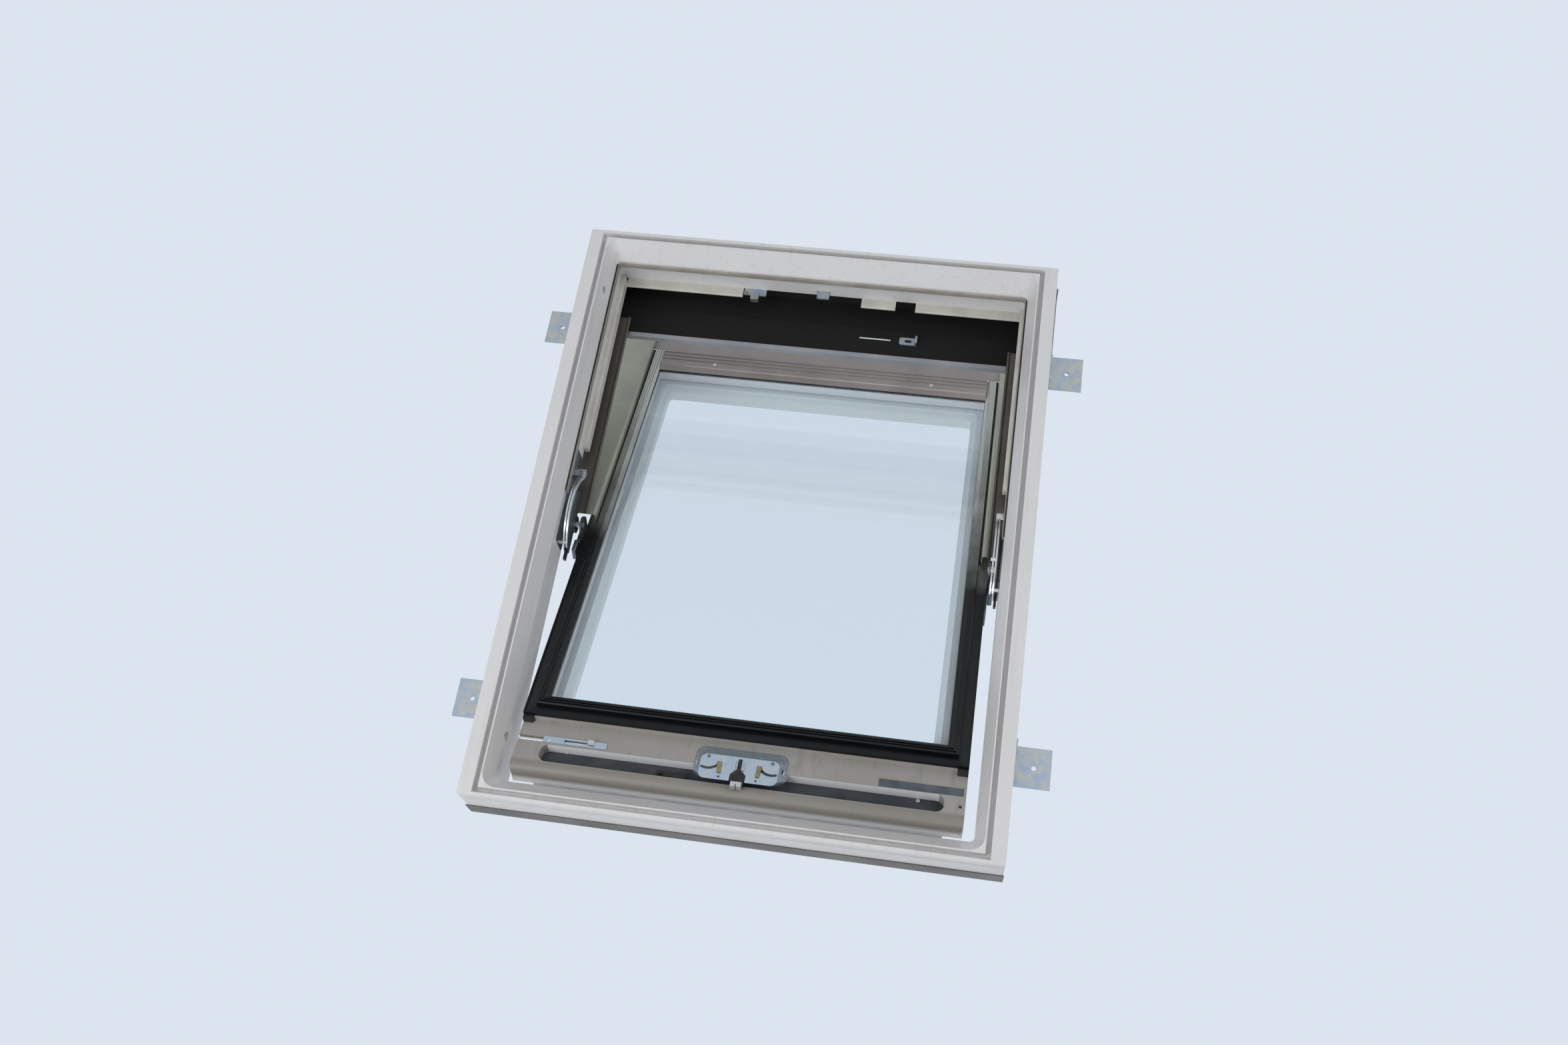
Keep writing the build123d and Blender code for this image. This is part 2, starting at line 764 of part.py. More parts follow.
# Friction track: two curved steel strips about the pivot, held by a boss and a foot
track_in = sash_x + leaf + seat_gap + 0.2
track_out = track_in + 2 * track_strip + track_gap
with BuildPart() as friction_track:
    for start in (track_in, track_out - track_strip):
        with BuildSketch(at_pivot(start)):
            with BuildLine(mode=Mode.PRIVATE) as strip_line:
                CenterArc((0, 0), track_r, track_start, track_end - track_start)
            SlotArc(strip_line.wires()[0], track_thickness)
        extrude(amount=track_strip)
    with BuildSketch(at_pivot(track_in)):
        with PolarLocations(track_r, 1, start_angle=track_start + 4):
            Circle(track_thickness / 2)
    extrude(amount=lip_x - track_in)
    with BuildSketch(at_pivot(track_in)):
        with PolarLocations(track_r + track_thickness, 1, start_angle=track_end + 4):
            Circle(boss_r)
    extrude(amount=lip_x - track_in)
write_pair(friction_track, "friction_track")

# Pivot pins, fixed in the hinge plates and turning in the eyes of the sash leaves
with BuildPart() as pivot_pins:
    with BuildSketch(at_pivot(sash_x - 1)):
        Circle(pin_r)
    extrude(amount=side_gap + pocket_depth + 1)
    with BuildSketch(at_pivot(lip_x + pocket_depth)):
        Circle(pin_head_r)
    extrude(amount=pin_head_height)
    fillet(pivot_pins.edges().group_by(Axis.X)[-1], 1.5)
    mirror(about=Plane.YZ)
write(pivot_pins, "pivot_pins")

# Sash frame: a moulded ring, deeper behind the glass, with a broad rail above the glazing
bolt_groove = bolt_r + seat_gap
plug_inset = 7.0
plug_r = 2.6
plug_depth = 9.0
with BuildPart() as sash_frame:
    with BuildSketch(sash_plane.offset(rebate_back)):
        rounded_area((-sash_x, sash_x), (-sash_top, sash_bottom), sash_corner)
    extrude(amount=sash_depth - rebate_back)
    with BuildSketch(sash_plane.offset(rim_face)):
        area((-sash_x, sash_x), (-glazed_top, sash_bottom - sash_corner))
        area((-sash_x + sash_corner, sash_x - sash_corner), (0, sash_bottom))
        area(
            (-glass_x - glass_play, glass_x + glass_play),
            (-glass_top - glass_play, glass_bottom + glass_play),
            mode=Mode.SUBTRACT,
        )
    extrude(amount=rebate_back - rim_face)
    with BuildSketch(sash_plane.offset(rail_face)):
        rounded_area((-sash_x, sash_x), (-sash_top, -glass_top - glass_play), sash_corner)
    extrude(amount=rebate_back - rail_face)
    bead_x = sight_x - bead
    bead_ys = (-top_sight + bead, bottom_sight - bead)
    with BuildSketch(sash_plane.offset(rebate_back)):
        rounded_area((-bead_x, bead_x), bead_ys, sight_corner)
    with BuildSketch(sash_plane.offset(rebate_back + bead_slope)):
        rounded_area(
            (-bead_x + bead_slope, bead_x - bead_slope),
            (bead_ys[0] + bead_slope, bead_ys[1] - bead_slope),
            sight_corner,
        )
    loft(mode=Mode.SUBTRACT)
    with BuildSketch(sash_plane.offset(rebate_back + bead_slope)):
        rounded_area(
            (-bead_x + bead_slope, bead_x - bead_slope),
            (bead_ys[0] + bead_slope, bead_ys[1] - bead_slope),
            sight_corner,
        )
    extrude(amount=sash_depth, mode=Mode.SUBTRACT)
    room_face = sash_frame.faces().sort_by(Axis(sash_plane.origin, sash_plane.z_dir))[-1]
    fillet(room_face.outer_wire().edges(), sash_corner - 0.5)
    chamfer(room_face.inner_wires()[0].edges(), bead_round)
    with BuildSketch(sash_plane.offset(rail_face)):
        with Locations((recess_x, recess_y)):
            RectangleRounded(recess_length, recess_width, recess_corner)
    extrude(amount=recess_depth, mode=Mode.SUBTRACT)
    with BuildSketch(sash_plane.offset(rail_face)):
        with Locations((plug_inset - sash_x, recess_y - 2)):
            Circle(plug_r)
    extrude(amount=plug_depth, mode=Mode.SUBTRACT)
    # Round both long edges of the top end, and cut the groove of the bolt
    with BuildSketch(across_sash(-sash_x)):
        area((-sash_top, -sash_top + rail_round), (rail_face, rail_face + rail_round))
        with Locations((-sash_top + rail_round, rail_face + rail_round)):
            Circle(rail_round, mode=Mode.SUBTRACT)
        area((-sash_top, -sash_top + room_round), (sash_depth - room_round, sash_depth))
        with Locations((-sash_top + room_round, sash_depth - room_round)):
            Circle(room_round, mode=Mode.SUBTRACT)
    extrude(amount=2 * sash_x, mode=Mode.SUBTRACT)
    with BuildSketch(across_sash(bolt_tail - seat_gap)):
        area(
            (bolt_y - bolt_groove, bolt_y + bolt_groove),
            (rail_face, bolt_depth + bolt_groove),
        )
    extrude(amount=sash_x - bolt_tail + seat_gap, mode=Mode.SUBTRACT)
write(sash_frame, "sash_frame")

# Insulating glass: two panes, a spacer bar and the dark edge seal
for name, depth in (("outer_pane", pane_face), ("inner_pane", pane_face + pane + cavity)):
    with BuildPart() as glass_pane:
        with BuildSketch(sash_plane.offset(depth)):
            area((-glass_x, glass_x), (-glass_top, glass_bottom))
        extrude(amount=pane)
    write(glass_pane, name)

spacer_x = glass_x - spacer_inset
spacer_ys = (-glass_top + spacer_inset, glass_bottom - spacer_inset)
with BuildPart() as spacer_bar:
    with BuildSketch(sash_plane.offset(pane_face + pane)):
        rounded_area((-spacer_x, spacer_x), spacer_ys, 3)
        rounded_area(
            (-spacer_x + spacer_width, spacer_x - spacer_width),
            (spacer_ys[0] + spacer_width, spacer_ys[1] - spacer_width),
            2,
            mode=Mode.SUBTRACT,
        )
    extrude(amount=cavity)
write(spacer_bar, "spacer_bar")

with BuildPart() as edge_seal:
    with BuildSketch(sash_plane.offset(pane_face + pane)):
        area((-glass_x, glass_x), (-glass_top, glass_bottom))
        rounded_area((-spacer_x, spacer_x), spacer_ys, 3, mode=Mode.SUBTRACT)
    extrude(amount=cavity)
write(edge_seal, "edge_seal")

with BuildPart() as glazing_gasket:
    with BuildSketch(sash_plane.offset(profile_foot)):
        area(
            (-sight_x - gasket_width, sight_x + gasket_width),
            (-top_sight - gasket_width, bottom_sight + gasket_width),
        )
        area((-sight_x, sight_x), (-top_sight, bottom_sight), mode=Mode.SUBTRACT)
    extrude(amount=gasket_height)
write(glazing_gasket, "glazing_gasket")

# Ribbed outer glazing profiles, mitred at the top corners
rib = 2.0
foot_start = sash_x - glass_x - glass_play
profile_section = [
    (0, rim_face),
    (0, channel_depth - 3),
    (rib, channel_depth - 3),
    (rib, channel_depth),
    (profile_channel, channel_depth),
    (profile_channel, profile_face + 1),
    (profile_channel + 1, profile_face),
]
for start in (profile_channel + 3, profile_channel + 7):
    profile_section += [(start, profile_face), (start, profile_face + rib)]
    profile_section += [(start + rib, profile_face + rib), (start + rib, profile_face)]
profile_section += [
    (profile_channel + 11, profile_face),
    (profile_channel + 12, profile_face + rib),
    (profile_width, profile_foot - 0.6),
    (profile_width, profile_foot),
    (foot_start, profile_foot),
    (foot_start, rim_face),
]
beyond = 1.0
with BuildPart() as top_profile:
    with BuildSketch(across_sash(-sash_x)):
        Polygon(*[(-glazed_top + across, depth) for across, depth in profile_section], align=None)
    extrude(amount=2 * sash_x)
    for side in (1, -1):
        with BuildSketch(sash_plane):
            Polygon(
                (side * (sash_x + beyond), -glazed_top - beyond),
                (side * (sash_x + beyond), -top_sight + beyond),
                (side * (sight_x - beyond), -top_sight + beyond),
                align=None,
            )
        extrude(amount=rail_face, mode=Mode.SUBTRACT)
write(top_profile, "top_profile")

with BuildPart() as side_profile:
    with BuildSketch(along_sash(side_profile_end)):
        Polygon(*[(sash_x - across, depth) for across, depth in profile_section], align=None)
    extrude(amount=side_profile_end + glazed_top)
    with BuildSketch(sash_plane):
        Polygon(
            (sash_x + beyond, -glazed_top - beyond),
            (sight_x - beyond, -glazed_top - beyond),
            (sight_x - beyond, -top_sight + beyond),
            align=None,
        )
    extrude(amount=rail_face, mode=Mode.SUBTRACT)
write_pair(side_profile, "side_profile")

# Ribbed bottom cover, reaching over the sill when the window is shut
cover_sheet = 2.0
wing_start = side_profile_end + 1.0
rib_starts = [bottom_sight + step for step in (27, 36, 45)]
cover_points = [(bottom_sight, profile_foot), (bottom_sight, profile_foot - 0.6)]
cover_points += [(bottom_sight + 11, profile_face + rib), (bottom_sight + 12, profile_face)]
for start in rib_starts:
    cover_points += [(start, profile_face), (start, profile_face - 1.5)]
    cover_points += [(start + 2, profile_face - 1.5), (start + 2, profile_face)]
cover_points += [
    (sash_cover_end, profile_face),
    (sash_cover_end, bottom_leg),
    (sash_cover_end - cover_sheet, bottom_leg),
    (sash_cover_end - cover_sheet, profile_face + cover_sheet),
    (sash_bottom, profile_face + cover_sheet),
    (sash_bottom, rim_face),
    (glass_bottom + glass_play + seat_gap, rim_face),
    (glass_bottom + glass_play + seat_gap, profile_foot),
]
cover_screw_x = 0.6 * sash_x
cover_screw_y = bottom_sight + 20.5
with BuildPart() as bottom_cover:
    with BuildSketch(across_sash(-sight_x)):
        Polygon(*cover_points, align=None)
    extrude(amount=2 * sight_x)
    for start in (sight_x, -sash_x - 2):
        with BuildSketch(across_sash(start)):
            Polygon(
                (wing_start, profile_face),
                (sash_cover_end, profile_face),
                (sash_cover_end, bottom_leg),
                (sash_cover_end - cover_sheet, bottom_leg),
                (sash_cover_end - cover_sheet, profile_face + cover_sheet),
                (wing_start, profile_face + cover_sheet),
                align=None,
            )
        extrude(amount=profile_width + 2)
write(bottom_cover, "bottom_cover")

# Wide covers on the lower half of the sash: the inner leg stands in the channel of the profile
with BuildPart() as sash_side_cover:
    with BuildSketch(along_sash(sash_cover_end)) as cover_section:
        Polygon(
            (leg_x, sash_cover_leg),
            (leg_x, sash_cover_face),
            (sash_cover_edge, sash_cover_face),
            (sash_cover_edge, sash_cover_skirt),
            (sash_cover_edge - sheet, sash_cover_skirt),
            (sash_cover_edge - sheet, sash_cover_face + sheet),
            (leg_x + sheet, sash_cover_face + sheet),
            (leg_x + sheet, sash_cover_leg),
            align=None,
        )
        corner = cover_section.vertices().sort_by_distance((leg_x, sash_cover_face, 0))
        fillet(corner[0], sash_cover_round)
        corner = cover_section.vertices().sort_by_distance((leg_x + sheet, sash_cover_face + sheet, 0))
        fillet(corner[0], sash_cover_round - sheet)
    extrude(amount=sash_cover_end - sash_cover_start)
    # The inner leg is shorter where it passes over the bottom cover
    with BuildSketch(across_sash(leg_x)):
        area((side_profile_end, sash_cover_end), (short_leg, sash_cover_leg))
    extrude(amount=sheet, mode=Mode.SUBTRACT)
write_pair(sash_side_cover, "sash_side_cover")

# Black seals between the ribs of the profiles and these covers
with BuildPart() as side_seals:
    with BuildSketch(across_sash(sash_x - profile_channel)):
        area((sash_cover_start, side_profile_end), (seal_face, channel_depth))
    extrude(amount=profile_channel - cover_over_sash - seat_gap)
    mirror(about=Plane.YZ)
write(side_seals, "side_seals")

# Black corner clips under the ends of the top profile
clip_length = 16.0
clip_width = 6.0
with BuildPart() as corner_clips:
    with BuildSketch(sash_plane.offset(rail_face)):
        area((sash_x - clip_length, sash_x), (-glazed_top - clip_width, -glazed_top))
    extrude(amount=rim_face - rail_face)
    fillet(corner_clips.edges().filter_by(Axis(sash_plane.origin, sash_plane.z_dir)).sort_by(Axis.X)[0], 3)
    mirror(about=Plane.YZ)
write(corner_clips, "corner_clips")

# Hinge leaves on the sash sides, with the eye on the pivot pin and a knuckle block
with BuildPart() as sash_hinge:
    with BuildSketch(across_sash(sash_x)):
        rounded_area((-leaf_length / 2, leaf_length / 2), leaf_depths, leaf_corner)
        area((-eye_r, eye_r), (0, leaf_depths[0] + leaf_corner))
        Circle(eye_r)
        Circle(pin_r + running_gap, mode=Mode.SUBTRACT)
    extrude(amount=leaf)
    with BuildSketch(across_sash(sash_x + leaf)):
        rounded_area(knuckle_ends, knuckle_depths, 3)
    extrude(amount=knuckle_width)
write_pair(sash_hinge, "sash_hinge")

# Filter mat on the floor of the ventilation recess, and a link that lies on it
with BuildPart() as vent_filter:
    with BuildSketch(sash_plane.offset(rail_face + recess_depth - filter_thickness)):
        with Locations((recess_x, recess_y)):
            RectangleRounded(
                recess_length - 2 * seat_gap, recess_width - 2 * seat_gap, recess_corner - seat_gap
            )
    extrude(amount=filter_thickness)
write(vent_filter, "vent_filter")

link_z = rail_face + recess_depth - filter_thickness
link_start = lock_x + lock_length / 2 + 9
link_length = 44.0
link_height = 6.0
with BuildPart() as vent_link:
    with BuildSketch(sash_plane.offset(link_z)):
        rounded_area((link_start, link_start + link_length), (recess_y - 6, recess_y + 2), 2)
    extrude(amount=-link_height)
    with BuildSketch(sash_plane.offset(link_z - link_height)):
        with Locations((link_start + link_length - 6, recess_y - 2)):
            Circle(link_height / 2)
    extrude(amount=-link_height / 2)
write(vent_link, "vent_link")

# Lock case: a pressed pan with sloping ends, two arc slots and an open slot for the latch
face_z = rail_face - lock_height
face_length = lock_length - 2 * lock_slope
wall_share = lock_wall / lock_height
inner_y = face_y + wall_share * (lock_y - face_y)
inner_width = face_width + wall_share * (lock_width - face_width) - 2 * lock_wall
inner_length = face_length + wall_share * (lock_length - face_length) - 2 * lock_wall
end_slot_y = lock_y + end_slot_from_middle
end_slot_z = rail_face - lock_height / 2
lever_xs = (lock_x + lever_offset, lock_x - lever_offset)
peep_hole_y = lock_y + peep_hole_from_middle
nose_y = lock_y - latch_reach


def latch_outline(gap, end):
    """Stem and body of the latch, or of its slot with a gap all round, ending at the given y."""
    half_stem = latch_stem / 2 + gap
    half_body = latch_width / 2 + gap
    return [
        (lock_x - half_stem, lock_y + latch_top + gap),
        (lock_x + half_stem, lock_y + latch_top + gap),
        (lock_x + half_stem, lock_y + latch_shoulder + gap),
        (lock_x + half_body, lock_y + latch_hip + gap),
        (lock_x + half_body, end),
        (lock_x - half_body, end),
        (lock_x - half_body, lock_y + latch_hip + gap),
        (lock_x - half_stem, lock_y + latch_shoulder + gap),
    ]


with BuildPart() as lock_case:
    with BuildSketch(sash_plane.offset(rail_face)):
        with Locations((lock_x, lock_y)):
            RectangleRounded(lock_length, lock_width, lock_corner)
    with BuildSketch(sash_plane.offset(face_z)):
        with Locations((lock_x, face_y)):
            RectangleRounded(face_length, face_width, face_corner)
    loft()
    with BuildSketch(sash_plane.offset(rail_face)):
        with Locations((lock_x, lock_y)):
            RectangleRounded(lock_length - 2 * lock_wall, lock_width - 2 * lock_wall, lock_corner - lock_wall)
    with BuildSketch(sash_plane.offset(face_z + lock_wall)):
        with Locations((lock_x, inner_y)):
            RectangleRounded(inner_length, inner_width, face_corner - lock_wall)
    loft(mode=Mode.SUBTRACT)
    with BuildSketch(sash_plane.offset(face_z)):
        for x in lever_xs:
            with Locations((x, lever_y)):
                Circle(rivet_r)
    extrude(amount=lock_wall + lever_thickness + 2)
    with BuildSketch(sash_plane.offset(face_z)):
        Polygon(*latch_outline(latch_gap, lock_y - lock_width), align=None)
        for x, start, side in ((lever_xs[0], lever_rest, 1), (lever_xs[1], -180 - lever_rest, -1)):
            with BuildLine(mode=Mode.PRIVATE) as slot_line:
                CenterArc(
                    (x, lever_y),
                    lever_r,
                    start - side * lever_slack,
                    side * (lever_travel + 2 * lever_slack),
                )
            SlotArc(slot_line.wires()[0], lever_slot)
        with Locations(*[(lock_x + side * peep_hole_offset, peep_hole_y) for side in (1, -1)]):
            Circle(peep_hole_r)
    extrude(amount=lock_wall, mode=Mode.SUBTRACT)
    # The latch leaves the case between its lower wall's two halves
    with BuildSketch(sash_plane.offset(face_z + lock_wall)):
        area(
            (lock_x - latch_width / 2 - latch_gap, lock_x + latch_width / 2 + latch_gap),
            (lock_y - lock_width, lock_y - lock_width / 2 + 2 * lock_wall),
        )
    extrude(amount=lock_height, mode=Mode.SUBTRACT)
    # One slot in each sloping end, made in one pass through the case
    with BuildSketch(across_sash(lock_x - lock_length / 2)):
        area(
            (end_slot_y - end_slot / 2, end_slot_y + end_slot / 2),
            (end_slot_z - end_slot_height / 2, end_slot_z + end_slot_height / 2),
        )
    extrude(amount=lock_length, mode=Mode.SUBTRACT)
write(lock_case, "lock_case")

# Springs beside the latch stem
with BuildPart() as lock_springs:
    for side in (1, -1):
        with BuildSketch(along_sash(lock_y + latch_top - 2)):
            with Locations((lock_x + side * spring_offset, face_z - spring_r)):
                Circle(spring_r)
        extrude(amount=spring_length)
write(lock_springs, "lock_springs")

# Latch: a black slide with a steel nose, sprung back in the open lock
with BuildPart() as latch:
    with BuildSketch(sash_plane.offset(face_z - latch_proud)):
        Polygon(*latch_outline(0, nose_y + jaw_length), align=None)
    extrude(amount=lock_height + latch_proud - seat_gap)
write(latch, "latch")

with BuildPart() as latch_jaw:
    with BuildSketch(sash_plane.offset(face_z - 1)):
        area((lock_x - jaw_width / 2, lock_x + jaw_width / 2), (nose_y, nose_y + jaw_length))
        area(
            (lock_x - jaw_slit / 2, lock_x + jaw_slit / 2),
            (nose_y, nose_y + jaw_length / 2),
            mode=Mode.SUBTRACT,
        )
    extrude(amount=jaw_depth)
write(latch_jaw, "latch_jaw")

# Brass levers: a hub on the rivet, an arm, a post through the arc slot and a tab outside
arm_z = face_z + lock_wall + seat_gap
tab_z = face_z - 2 * seat_gap - tab_thickness
for name, x, rest, side in (
    ("lock_lever_left", lever_xs[0], lever_rest, 1),
    ("lock_lever_right", lever_xs[1], -180 - lever_rest, -1),
):
    post = (x + lever_r * cos(radians(rest)), lever_y + lever_r * sin(radians(rest)))
    with BuildPart() as lock_lever:
        with BuildSketch(sash_plane.offset(arm_z)):
            with BuildLine(mode=Mode.PRIVATE) as arm_line:
                Line((x, lever_y), post)
            SlotArc(arm_line.wires()[0], 2 * hub_r)
            with Locations((x, lever_y)):
                Circle(rivet_r + running_gap, mode=Mode.SUBTRACT)
        extrude(amount=lever_thickness)
        with BuildSketch(sash_plane.offset(arm_z)):
            with Locations(post):
                Circle(post_r)
        extrude(amount=tab_z - arm_z)
        with BuildSketch(sash_plane.offset(tab_z)):
            Polygon(
                (post[0] - tab_width / 2, post[1] + post_r),
                (post[0] + tab_width / 2, post[1] + post_r),
                (post[0] - side * tab_lean + tab_width / 2 - tab_taper, post[1] + post_r - tab_length),
                (post[0] - side * tab_lean - tab_width / 2 + tab_taper, post[1] + post_r - tab_length),
                align=None,
            )
        extrude(amount=tab_thickness)
    write(lock_lever, name)

# Barrel bolt: plate with its slot, and the rod with a square knob
plate_z = rail_face - bolt_plate_sheet
slot_ends = (knob_x - knob_size / 2, knob_x + bolt_travel + knob_size / 2)
with BuildPart() as bolt_plate:
    with BuildSketch(sash_plane.offset(plate_z)):
        rounded_area(
            bolt_plate_ends, (bolt_y - bolt_plate_width / 2, bolt_y + bolt_plate_width / 2), 2
        )
        area(slot_ends, (bolt_y - neck_size / 2 - seat_gap, bolt_y + neck_size / 2 + seat_gap), Mode.SUBTRACT)
    extrude(amount=bolt_plate_sheet)
write(bolt_plate, "bolt_plate")

with BuildPart() as barrel_bolt:
    with BuildSketch(across_sash(bolt_tail)):
        with Locations((bolt_y, bolt_depth)):
            Circle(bolt_r)
    extrude(amount=sash_x - bolt_tail - 1)
    chamfer(barrel_bolt.edges().sort_by(Axis.X)[-1], 1.2)
    with BuildSketch(sash_plane.offset(bolt_depth)):
        area(
            (knob_x - neck_size / 2, knob_x + neck_size / 2),
            (bolt_y - neck_size / 2, bolt_y + neck_size / 2),
        )
    extrude(amount=plate_z - seat_gap - bolt_depth)
    with BuildSketch(sash_plane.offset(plate_z - seat_gap)):
        rounded_area(
            (knob_x - knob_size / 2, knob_x + knob_size / 2),
            (bolt_y - knob_size / 2, bolt_y + knob_size / 2),
            1,
        )
    extrude(amount=-5)
write(barrel_bolt, "barrel_bolt")

# Bare type plate on the rail
plate_inset = 4.0
plate_length = 121.0
plate_width = 12.5
with BuildPart() as type_plate:
    with BuildSketch(sash_plane.offset(rail_face)):
        area(
            (plate_inset - sash_x, plate_inset - sash_x + plate_length),
            (recess_y + recess_width / 2 + 0.5, recess_y + recess_width / 2 + 0.5 + plate_width),
        )
    extrude(amount=-sheet / 2)
write(type_plate, "type_plate")

# Screws of the bottom cover, the recess and the bolt plate, with a cross recess in each head
screw_head_r = 4.0
screw_head = 1.5
screw_spots = [
    (cover_screw_x, cover_screw_y, profile_face),
    (-cover_screw_x, cover_screw_y, profile_face),
    (bolt_plate_end - 9, bolt_y, plate_z),
]
with BuildPart() as sash_screws:
    for x, y, depth in screw_spots:
        with BuildSketch(sash_plane.offset(depth)):
            with Locations((x, y)):
                Circle(screw_head_r)
        extrude(amount=-screw_head)
        with BuildSketch(sash_plane.offset(depth - screw_head)):
            with Locations((x, y)):
                Rectangle(1, screw_head_r)
                Rectangle(screw_head_r, 1)
        extrude(amount=screw_head / 2, mode=Mode.SUBTRACT)
write(sash_screws, "sash_screws")

# Control bar: the ventilation flap with its grip, hung on two pins
bar_z = sash_depth + bar_rise
half_bar = bar_length / 2
with BuildPart() as control_bar:
    with BuildSketch(across_sash(-half_bar)):
        area((flap_end, bar_y), (sash_depth + flap_lift, sash_depth + flap_lift + flap_thickness))
        Polygon(
            (flap_end, sash_depth + flap_lift),
            (flap_end + 16, sash_depth + flap_lift + flap_thickness),
            (flap_end + 13, sash_depth + grip_height - 4),
            (flap_end + 7, sash_depth + grip_height),
            (flap_end + 1, sash_depth + grip_height - 2),
            (flap_end, sash_depth + grip_height - 6),
            align=None,
        )
        with Locations((bar_y, bar_z)):
            Circle(bar_knuckle_r)
        area((bar_y - bar_knuckle_r, bar_y), (sash_depth + flap_lift, bar_z))
        with Locations((bar_y, bar_z)):
            Circle(bar_pin_r + running_gap, mode=Mode.SUBTRACT)
    extrude(amount=bar_length)
write(control_bar, "control_bar")

with BuildPart() as bar_brackets:
    with BuildSketch(across_sash(half_bar + seat_gap)):
        rounded_area(
            (bar_y - 2 * bar_bracket_width, bar_y + 2 * bar_bracket_width),
            (sash_depth, bar_z + bar_bracket_width),
            2,
        )
    extrude(amount=bar_bracket_width)
    with BuildSketch(across_sash(half_bar + seat_gap)):
        with Locations((bar_y, bar_z)):
            Circle(bar_pin_r)
    extrude(amount=-3 * bar_bracket_width)
    mirror(about=Plane.YZ)
write(bar_brackets, "bar_brackets")
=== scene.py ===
import math

import bmesh
import bpy
from mathutils import Matrix, Vector


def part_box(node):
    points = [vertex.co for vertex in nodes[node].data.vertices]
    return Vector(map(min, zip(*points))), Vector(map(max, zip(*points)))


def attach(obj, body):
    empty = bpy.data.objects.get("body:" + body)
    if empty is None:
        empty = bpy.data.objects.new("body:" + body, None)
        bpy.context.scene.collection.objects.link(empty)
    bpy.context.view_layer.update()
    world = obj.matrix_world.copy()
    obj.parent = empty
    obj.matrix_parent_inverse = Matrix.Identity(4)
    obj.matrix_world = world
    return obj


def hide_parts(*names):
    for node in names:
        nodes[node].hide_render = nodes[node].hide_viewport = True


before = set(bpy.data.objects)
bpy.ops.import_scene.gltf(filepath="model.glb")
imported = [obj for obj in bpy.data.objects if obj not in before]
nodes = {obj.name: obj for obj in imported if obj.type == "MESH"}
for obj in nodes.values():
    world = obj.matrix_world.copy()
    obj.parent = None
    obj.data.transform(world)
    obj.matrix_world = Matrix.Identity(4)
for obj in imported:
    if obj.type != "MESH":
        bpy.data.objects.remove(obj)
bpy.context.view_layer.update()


# The view: from about two metres under the pivot axis, up the roof slope and turned slightly to
# one side, through a moderate wide lens.
camera_place = Vector((-0.2962, -0.9746, -2.1709))
camera_right = Vector((-0.9869, 0.1472, 0.0656))
camera_up = Vector((0.1060, 0.8994, -0.4241))
camera_turn = Matrix((camera_right, camera_up, camera_right.cross(camera_up))).transposed()
camera = bpy.data.objects.new("camera", bpy.data.cameras.new("camera"))
camera.matrix_world = Matrix.Translation(camera_place) @ camera_turn.to_4x4()
camera.data.sensor_width = 36
camera.data.lens = 35.26
camera.data.clip_end = 50
bpy.context.scene.collection.objects.link(camera)
bpy.context.scene.camera = camera


# The studio: an even pale surround, which glass and metal show too, a pale painted floor far
# below the window, and four large soft lamps under, beside and above it. Glass and metal don't
# mirror the one above, whose image would fill the panes.
def colour(code):
    """Linear colour of an sRGB hex code."""
    parts = [int(code[i : i + 2], 16) / 255 for i in (1, 3, 5)]
    linear = [part / 12.92 if part <= 0.04045 else ((part + 0.055) / 1.055) ** 2.4 for part in parts]
    return (*linear, 1)


def add(tree, kind, sockets=None, **settings):
    """Adds one node with its settings, and its sockets' values or links."""
    node = tree.nodes.new(kind)
    for name, value in settings.items():
        setattr(node, name, value)
    for name, value in (sockets or {}).items():
        if isinstance(value, bpy.types.NodeSocket):
            tree.links.new(value, node.inputs[name])
        else:
            node.inputs[name].default_value = value
    return node


def seen_or_mirrored(tree):
    """One for rays from the camera, off a gloss or through glass, and nought for the object's light."""
    rays = add(tree, "ShaderNodeLightPath")
    seen = add(tree, "ShaderNodeMath", {0: rays.outputs["Is Camera Ray"], 1: rays.outputs["Is Glossy Ray"]},
               operation="MAXIMUM")
    return add(tree, "ShaderNodeMath", {0: seen.outputs[0], 1: rays.outputs["Is Transmission Ray"]},
               operation="MAXIMUM").outputs[0]


bpy.context.scene.view_settings.view_transform = "Standard"
plain_level = 0.42
surround = bpy.data.worlds.new("surround")
surround.use_nodes = True
bpy.context.scene.world = surround
sky = surround.node_tree
sky.nodes.clear()
even_light = add(sky, "ShaderNodeBackground", {"Color": colour("#eef1f6"), "Strength": plain_level})
backdrop = add(sky, "ShaderNodeBackground", {"Color": colour("#dce5ef"), "Strength": 1.0})
either = add(sky, "ShaderNodeMixShader", {0: seen_or_mirrored(sky), 1: even_light.outputs[0],
                                          2: backdrop.outputs[0]})
add(sky, "ShaderNodeOutputWorld", {0: either.outputs[0]})

